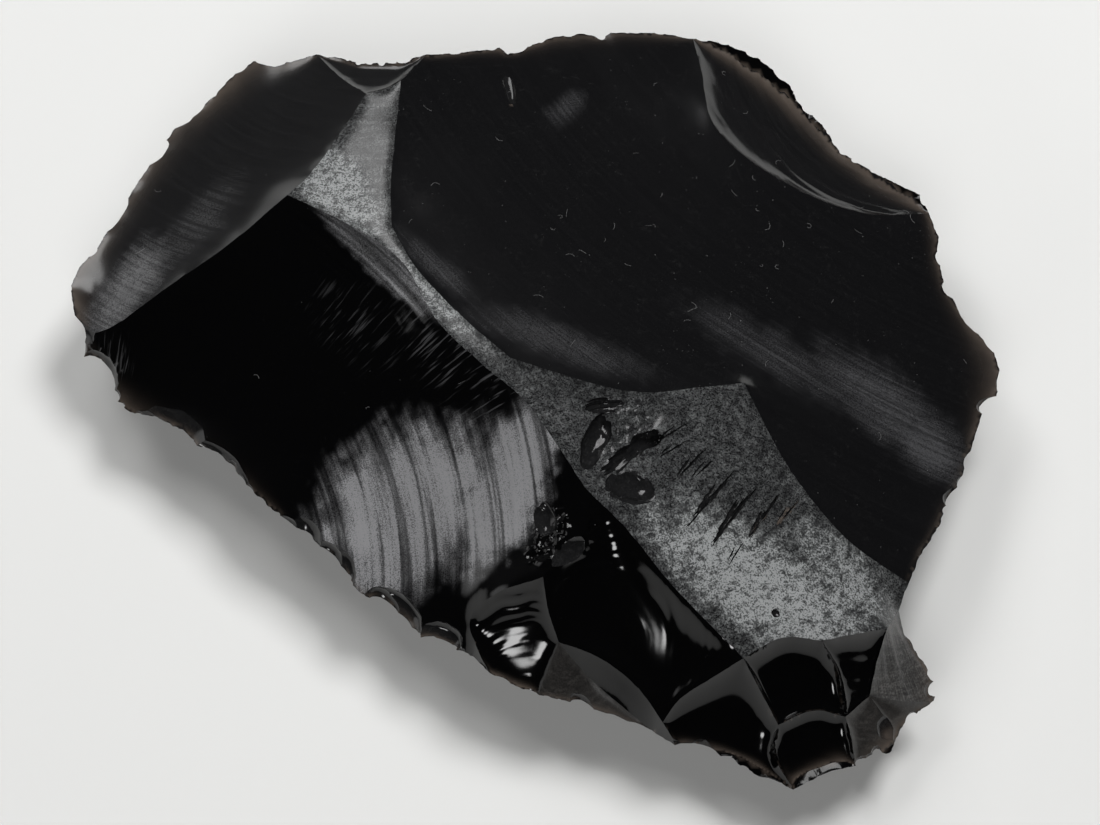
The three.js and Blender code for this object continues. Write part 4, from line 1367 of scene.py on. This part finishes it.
@dataclass
class Chunk:
    """The piece of volcanic glass.

    Args:
        name: Name of the piece.
        crease: Angle past which an edge inside a fracture face is sharp, in degrees.
        thin_reach: Thickness at which light starts to show through, in millimetres.
        thin_top: Height above which no rim is thin, in millimetres.
    """

    name: str = "obsidian_glass"
    crease: float = 32.0
    # thin_reach: Thickness at which the painted brown glow, for light shining through thin glass, starts, in millimetres.         thin_top: Height above which no rim gets the painted glow, in millimetres.
    thin_reach: float = 0.3
    thin_top: float = 17.3
    network: Network = field(default_factory=Network)
    piece: bpy.types.Object | None = None

    def build(self) -> bpy.types.Object:
        """Builds the mesh, strikes the flakes and dresses it.

        Returns:
            The finished piece.
        """
        upper = Skin(self.network, UPPER_FACES, 1).mesh()
        lower = Skin(self.network, LOWER_FACES, -1).mesh()
        self.piece = self._weld(upper, lower)
        carver = Carver(self.network)
        fine, middling, small = (base_shape("ico_sphere", subdivisions=n, radius=1) for n in (5, 4, 3))
        batches = carver.strike(self.piece, [f for f in STRUCK_FLAKES if f.waves >= 6], fine)
        batches += carver.strike(self.piece, [f for f in STRUCK_FLAKES if f.waves < 6], middling)
        batches += carver.strike(self.piece, carver.slits(), middling)
        batches += carver.strike(self.piece, carver.nicks(), small)
        LOG.info("%s: %d scars cut in %d batches", self.name, len(carver.origins), batches)
        self._finish(carver)
        return self.piece

    def _weld(self, upper: tuple, lower: tuple) -> bpy.types.Object:
        """Joins the two skins along the rim.

        Args:
            upper: Vertices, triangles and face numbers of the upper side.
            lower: The same for the underside.

        Returns:
            The closed chunk.
        """
        vertices = np.vstack([upper[0], lower[0]])
        triangles = np.vstack([upper[1], lower[1] + len(upper[0])])
        owners = np.concatenate([upper[2], lower[2] + len(UPPER_FACES)])
        keys = np.round(vertices * 1e5).astype(np.int64)
        _, first, inverse = np.unique(keys, axis=0, return_index=True, return_inverse=True)
        triangles = inverse.reshape(-1)[triangles]
        _, same, counts = np.unique(
            np.sort(triangles, axis=1), axis=0, return_inverse=True, return_counts=True)
        solid = counts[same.reshape(-1)] == 1
        triangles, owners = triangles[solid], owners[solid]
        used, packed = np.unique(triangles, return_inverse=True)
        body = make_object(self.name, vertices[first][used] * MM, packed.reshape(-1, 3))
        for finish in Finish:
            body.data.materials.append(FINISHES[finish].material())
        finishes = np.array([face.finish.value for face in FACES], np.int32)
        body.data.polygons.foreach_set("material_index", finishes[owners])
        write_attribute(body.data, "fracture", "INT", "FACE", owners.astype(np.int32))
        return body

    def _finish(self, carver: Carver) -> None:
        """Marks the sharp edges and stores what the finishes read.

        Args:
            carver: Knows where each scar's blow landed.
        """
        mesh = self.piece.data
        work = bmesh.new()
        work.from_mesh(mesh)
        large = [polygon for polygon in work.faces if len(polygon.verts) > 3]
        bmesh.ops.triangulate(work, faces=large, quad_method="FIXED", ngon_method="EAR_CLIP")
        work.to_mesh(mesh)
        work.free()
        vertices = read(mesh.vertices, "co", 3).astype(float) / MM
        corners = read(mesh.loops, "vertex_index", 1, int).reshape(-1, 3)
        owners = np.zeros(len(corners), np.int32)
        mesh.attributes["fracture"].data.foreach_get("value", owners)
        a, b, c = (vertices[corners[:, i]] for i in range(3))
        normals = np.cross(b - a, c - a)
        normals /= np.linalg.norm(normals, axis=1)[:, None] + 1e-15
        self._mark_sharp(mesh, owners, normals)
        self._store(mesh, carver, vertices, corners, owners)

    def _mark_sharp(self, mesh: bpy.types.Mesh, owners: np.ndarray, normals: np.ndarray) -> None:
        """Marks the edges that shade sharp."""
        edges = read(mesh.loops, "edge_index", 1, int)
        order = np.argsort(edges, kind="stable")
        counts = np.bincount(edges, minlength=len(mesh.edges))
        starts = np.cumsum(counts) - counts
        pairs = np.stack([order[starts], order[starts + 1]], 1) // 3
        numbers = {face.name: i for i, face in enumerate(FACES)}
        soft = {tuple(sorted(numbers[name] for name in names)) for names in SOFT_SEAMS}
        first, second = owners[pairs[:, 0]], owners[pairs[:, 1]]
        apart = first != second
        for low, high in soft:
            apart &= ~((np.minimum(first, second) == low) & (np.maximum(first, second) == high))
        bent = (normals[pairs[:, 0]] * normals[pairs[:, 1]]).sum(1) < math.cos(math.radians(self.crease))
        write_attribute(mesh, "sharp_edge", "BOOLEAN", "EDGE", (apart | bent))
        mesh.polygons.foreach_set("use_smooth", np.ones(len(mesh.polygons), bool))
        mesh.update()

    def _store(self, mesh: bpy.types.Mesh, carver: Carver, vertices: np.ndarray, corners: np.ndarray,
               owners: np.ndarray) -> None:
        """Stores the attributes that the finishes read, one value for each corner."""
        each = np.repeat(owners, 3)
        x, y, _ = vertices[corners.ravel()].T
        blow = np.zeros((max(each.max() + 1, 1), 2))
        aim = np.zeros(len(blow))
        for i, face in enumerate(FACES):
            middle = self.network.loop(face)[:, :2].mean(0)
            blow[i] = face.blow
            aim[i] = math.atan2(middle[1] - face.blow[1], middle[0] - face.blow[0])
        for i, origin in carver.origins.items():
            if i < len(blow):
                blow[i] = origin
        dx, dy = x - blow[each, 0], y - blow[each, 1]
        turn = np.arctan2(dy, dx) - aim[each]
        turn = (turn + math.pi) % (2 * math.pi) - math.pi
        fan = np.stack([turn * 20, np.hypot(dx, dy), np.zeros(len(x))], 1)
        write_attribute(mesh, "fan", "FLOAT_VECTOR", "CORNER", fan.astype(np.float32))
        # Masks of frosting with painted sheen, and of hackles, one value for each corner.
        for name, patches in (("frost_sheen", FROST_AND_SHEEN), ("hackle", HACKLE)):
            amount = np.zeros(len(each))
            for i, face in enumerate(FACES):
                mine = each == i
                for patch in patches.get(face.name, ()):
                    amount[mine] = np.maximum(amount[mine], patch.value(x[mine], y[mine]))
            write_attribute(mesh, name, "FLOAT", "CORNER", amount.astype(np.float32))
        # Thinness of the glass, which the finishes turn into a painted brown glow.
        tree = BVHTree.FromPolygons((vertices * MM).tolist(), corners.tolist(), all_triangles=True)
        normals = read(mesh.vertex_normals, "vector", 3).astype(float)
        thin = np.zeros(len(vertices))
        for i, (place, normal) in enumerate(zip(vertices * MM, normals)):
            way = Vector((-normal).tolist())
            gap = tree.ray_cast(Vector(place.tolist()) + way * 2e-5, way, 0.004)[3]
            if gap is not None and place[2] < self.thin_top * MM:
                thin[i] = math.exp(-gap / MM / self.thin_reach)
        write_attribute(mesh, "thin", "FLOAT", "CORNER", thin[corners.ravel()].astype(np.float32))


# ---------------------------------------------------------------------------------------------
# Dust and lint
# ---------------------------------------------------------------------------------------------

@dataclass
class Lint:
    """Short fibres and specks of dust that lie on the upper faces.

    Args:
        fibres: How many fibres.
        specks: How many specks.
        thickness: Half a fibre's thickness, in millimetres.
        seed: Seed of where they lie.
    """

    fibres: int = 60
    specks: int = 260
    thickness: float = 0.016
    seed: int = 77

    def build(self, chunk: bpy.types.Object) -> bpy.types.Object:
        """Lays the dust on the chunk.

        Args:
            chunk: The piece that it lies on.

        Returns:
            The dust as one piece.
        """
        dice = random.Random(self.seed)
        tree = BVHTree.FromObject(chunk, bpy.context.evaluated_depsgraph_get())
        rod = base_shape("cylinder", vertices=5, radius=1, depth=1)
        bead = base_shape("ico_sphere", subdivisions=1, radius=1)
        vertices, triangles, count = [], [], 0
        for number in range(self.fibres + self.specks):
            x, y = self._spot(dice)
            hit, normal, _, _ = tree.ray_cast(Vector((x * MM, y * MM, 0.1)), Vector((0, 0, -1)))
            if hit is None or normal.z < 0.75:
                continue
            place = np.array(hit) / MM
            copies = self._fibre(dice, rod, place, normal) if number < self.fibres else [
                self._speck(dice, bead, place, normal)]
            for spots, faces in copies:
                vertices.append(spots)
                triangles.append(faces + count)
                count += len(spots)
        lint = make_object("surface_lint", np.vstack(vertices) * MM, np.vstack(triangles))
        lint.data.materials.append(self._material())
        return lint

    @staticmethod
    def _spot(dice: random.Random) -> tuple[float, float]:
        """A random place in plan, mostly on the broad back face."""
        if dice.random() < 0.75:
            return dice.gauss(14, 15), dice.gauss(14, 13)
        return dice.uniform(-42, 40), dice.uniform(-25, 36)

    def _fibre(self, dice: random.Random, rod: tuple, place: np.ndarray, normal: Vector) -> list[tuple]:
        """Lays one fibre as a chain of short rods that curl.

        Args:
            dice: Source of chance.
            rod: Vertices and triangles of a unit rod.
            place: Where it starts, in millimetres.
            normal: The way that the surface faces.

        Returns:
            Vertices and triangles of its rods.
        """
        heading = dice.uniform(0, 2 * math.pi)
        curl = dice.gauss(0, 0.5)
        length = dice.uniform(0.12, 0.3)
        turn = Vector((0, 0, 1)).rotation_difference(normal).to_matrix()
        at = Vector(place.tolist()) + normal * self.thickness
        rods = []
        for _ in range(4):
            way = turn @ Vector((math.cos(heading), math.sin(heading), 0))
            frame_ = way.to_track_quat("Z", "Y").to_matrix()
            size = np.array([self.thickness, self.thickness, length * 1.15])
            spots = (rod[0] * size) @ np.array(frame_).T + np.array(at + way * length / 2)
            rods.append((spots, rod[1]))
            at = at + way * length
            heading += curl
        return rods

    @staticmethod
    def _speck(dice: random.Random, bead: tuple, place: np.ndarray, normal: Vector) -> tuple:
        """Lays one speck: a small flattened grain."""
        size = 0.02 + 0.045 * dice.random() ** 3
        turn = np.array(Vector((0, 0, 1)).rotation_difference(normal).to_matrix())
        shape = bead[0] * np.array([size, size * dice.uniform(0.6, 1), size * 0.6])
        return shape @ turn.T + place + np.array(normal) * size * 0.3, bead[1]

    @staticmethod
    def _material() -> bpy.types.Material:
        """Makes the dust's finish, a soft pale grey."""
        material = bpy.data.materials.new("grey dust")
        material.use_nodes = True
        graph = Graph(material.node_tree)
        place = graph.node("ShaderNodeTexCoord").socket("Object")
        patchy = graph.noise(place, 1 / (1.5 * MM), 2)
        tint = graph.blend(patchy, rgba((0.05, 0.05, 0.05)), rgba((0.2, 0.2, 0.2)))
        shader = graph.node("ShaderNodeBsdfPrincipled", {}, {"Base Color": tint, "Roughness": 0.8})
        graph.node("ShaderNodeOutputMaterial", {}, {"Surface": shader.socket()})
        return material


# ---------------------------------------------------------------------------------------------
# The studio
# ---------------------------------------------------------------------------------------------

@dataclass(frozen=True)
class Softbox:
    """A rectangular light.

    Args:
        name: Its name.
        place: Its middle, in metres.
        aim: The point that it faces.
        size: Its width and depth.
        power: Its power, in watts.
        mirrored: Whether it shows in reflections.
    """

    name: str
    place: Point
    aim: Point
    size: tuple[float, float]
    power: float
    mirrored: bool = True

    def build(self) -> bpy.types.Object:
        """Hangs the light."""
        lamp = bpy.data.lights.new(self.name, "AREA")
        lamp.shape = "RECTANGLE"
        lamp.size, lamp.size_y = self.size
        lamp.energy = self.power
        light = bpy.data.objects.new(self.name, lamp)
        light.visible_glossy = self.mirrored
        way = Vector(self.aim) - Vector(self.place)
        turn = way.to_track_quat("-Z", "Y").to_matrix().to_4x4()
        light.matrix_world = Matrix.Translation(self.place) @ turn
        bpy.context.collection.objects.link(light)
        return light


@dataclass
class Studio:
    """Floor, lights, surroundings and camera.

    Args:
        floor_size: Width of the floor, in metres.
        floor_tone: How pale it is.
        elevation: Height of the camera above the floor, in degrees.
        distance: From the camera to its target, in metres.
        lens: Focal length, in millimetres.
        target: The point that the camera looks at.
        room_tone: Brightness of the dark room.
        windows: The room's pale windows, as heading, height and width in degrees, and brightness.
    """

    floor_size: float = 6.0
    floor_tone: float = 0.53
    elevation: float = 65.0
    distance: float = 0.35
    lens: float = 115.0
    target: Point = (0.001669, -0.002233, 0.010)
    room_tone: float = 0.015
    windows: tuple[tuple[float, float, float, float], ...] = ((128, 14, 42, 0.06), (172, 14, 14, 1.2),
                                                              (-120, 17, 6, 16.0))
    lights: tuple[Softbox, ...] = (
        Softbox("left softbox", (-0.28, 0.28, 0.6), (-0.28, 0.28, 0.0), (0.22, 0.2), 1.1),
        Softbox("back softbox", (-0.28, 0.55, 0.6), (-0.28, 0.55, 0.0), (0.45, 0.42), 3.4),
        Softbox("key light", (0.22, 0.3, 0.6), (0.0, 0.0, 0.0), (0.26, 0.26), 5.0, False),
        Softbox("front fill", (-0.06, -0.45, 0.5), (0.0, 0.0, 0.0), (0.4, 0.3), 1.9, False),
    )

    def build(self) -> None:
        """Sets up the whole studio."""
        self._floor()
        for light in self.lights:
            light.build()
        self._surroundings()
        self._camera()

    def _floor(self) -> None:
        """Lays the pale floor."""
        deselect()
        bpy.ops.mesh.primitive_plane_add(size=self.floor_size, location=(0, 0, -0.00005))
        floor = bpy.context.object
        floor.name = "floor"
        material = bpy.data.materials.new("pale floor")
        material.use_nodes = True
        graph = Graph(material.node_tree)
        place = graph.node("ShaderNodeTexCoord").socket("Object")
        clouds = graph.noise(place, 9.0, 2)
        tone, warm = self.floor_tone, self.floor_tone * 0.985
        tint = graph.blend(clouds, rgba((tone, tone, warm)), rgba((tone * 1.02, tone * 1.02, warm * 1.02)))
        shader = graph.node("ShaderNodeBsdfPrincipled", {}, {
            "Base Color": tint, "Roughness": 0.9, "Specular IOR Level": 0.1})
        graph.node("ShaderNodeOutputMaterial", {}, {"Surface": shader.socket()})
        floor.data.materials.append(material)

    def _surroundings(self) -> None:
        """Makes a dark room with pale windows, each a soft round patch in one direction."""
        world = bpy.data.worlds.new("studio room")
        bpy.context.scene.world = world
        world.use_nodes = True
        graph = Graph(world.node_tree)
        way = graph.node("ShaderNodeTexCoord").socket("Generated")
        room: Any = self.room_tone
        for heading, height, width, brightness in self.windows:
            turn, lift = math.radians(heading), math.radians(height)
            aim = (math.cos(turn) * math.cos(lift), math.sin(turn) * math.cos(lift), math.sin(lift))
            facing = graph.node("ShaderNodeVectorMath", {"operation": "DOT_PRODUCT"}, {0: way, 1: aim})
            edge, core = math.cos(math.radians(width)), math.cos(math.radians(width * 0.45))
            room = facing.signal("Value").rise(edge, core) * brightness + room
        seen = graph.node("ShaderNodeLightPath").signal("Is Camera Ray")
        tone = room + seen * (0.85 - room)
        grey = graph.node("ShaderNodeCombineXYZ", {}, {0: tone, 1: tone, 2: tone}).socket()
        glow = graph.node("ShaderNodeBackground", {}, {"Color": grey, "Strength": 1.0})
        graph.node("ShaderNodeOutputWorld", {}, {"Surface": glow.socket()})

    def _camera(self) -> None:
        """Places the camera."""
        camera = bpy.data.objects.new("camera", bpy.data.cameras.new("camera"))
        camera.data.lens = self.lens
        camera.data.sensor_width = 36.0
        camera.data.clip_start = 0.01
        camera.data.dof.use_dof = False
        angle = math.radians(self.elevation)
        back = Vector((0, -math.cos(angle), math.sin(angle)))
        turn = back.to_track_quat("Z", "Y").to_matrix().to_4x4()
        camera.matrix_world = Matrix.Translation(Vector(self.target) + back * self.distance) @ turn
        bpy.context.collection.objects.link(camera)
        bpy.context.scene.camera = camera


def report(piece: bpy.types.Object) -> None:
    """Logs a piece's size."""
    mesh = piece.data
    LOG.info("%s: %d triangles, %d vertices", piece.name, len(mesh.polygons), len(mesh.vertices))


def main() -> None:
    """Builds the chunk and its studio."""
    logging.basicConfig(level=logging.INFO, format="%(name)s: %(message)s", stream=sys.stdout)
    chunk = Chunk().build()
    report(chunk)
    lint = Lint().build(chunk)
    report(lint)
    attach(chunk, BODY)
    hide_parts(NODE)
    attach(lint, BODY)
    Studio().build()
    scene = bpy.context.scene
    scene.view_settings.view_transform = "Standard"
    scene.view_settings.look = "None"


if __name__ == "__main__":
    main()
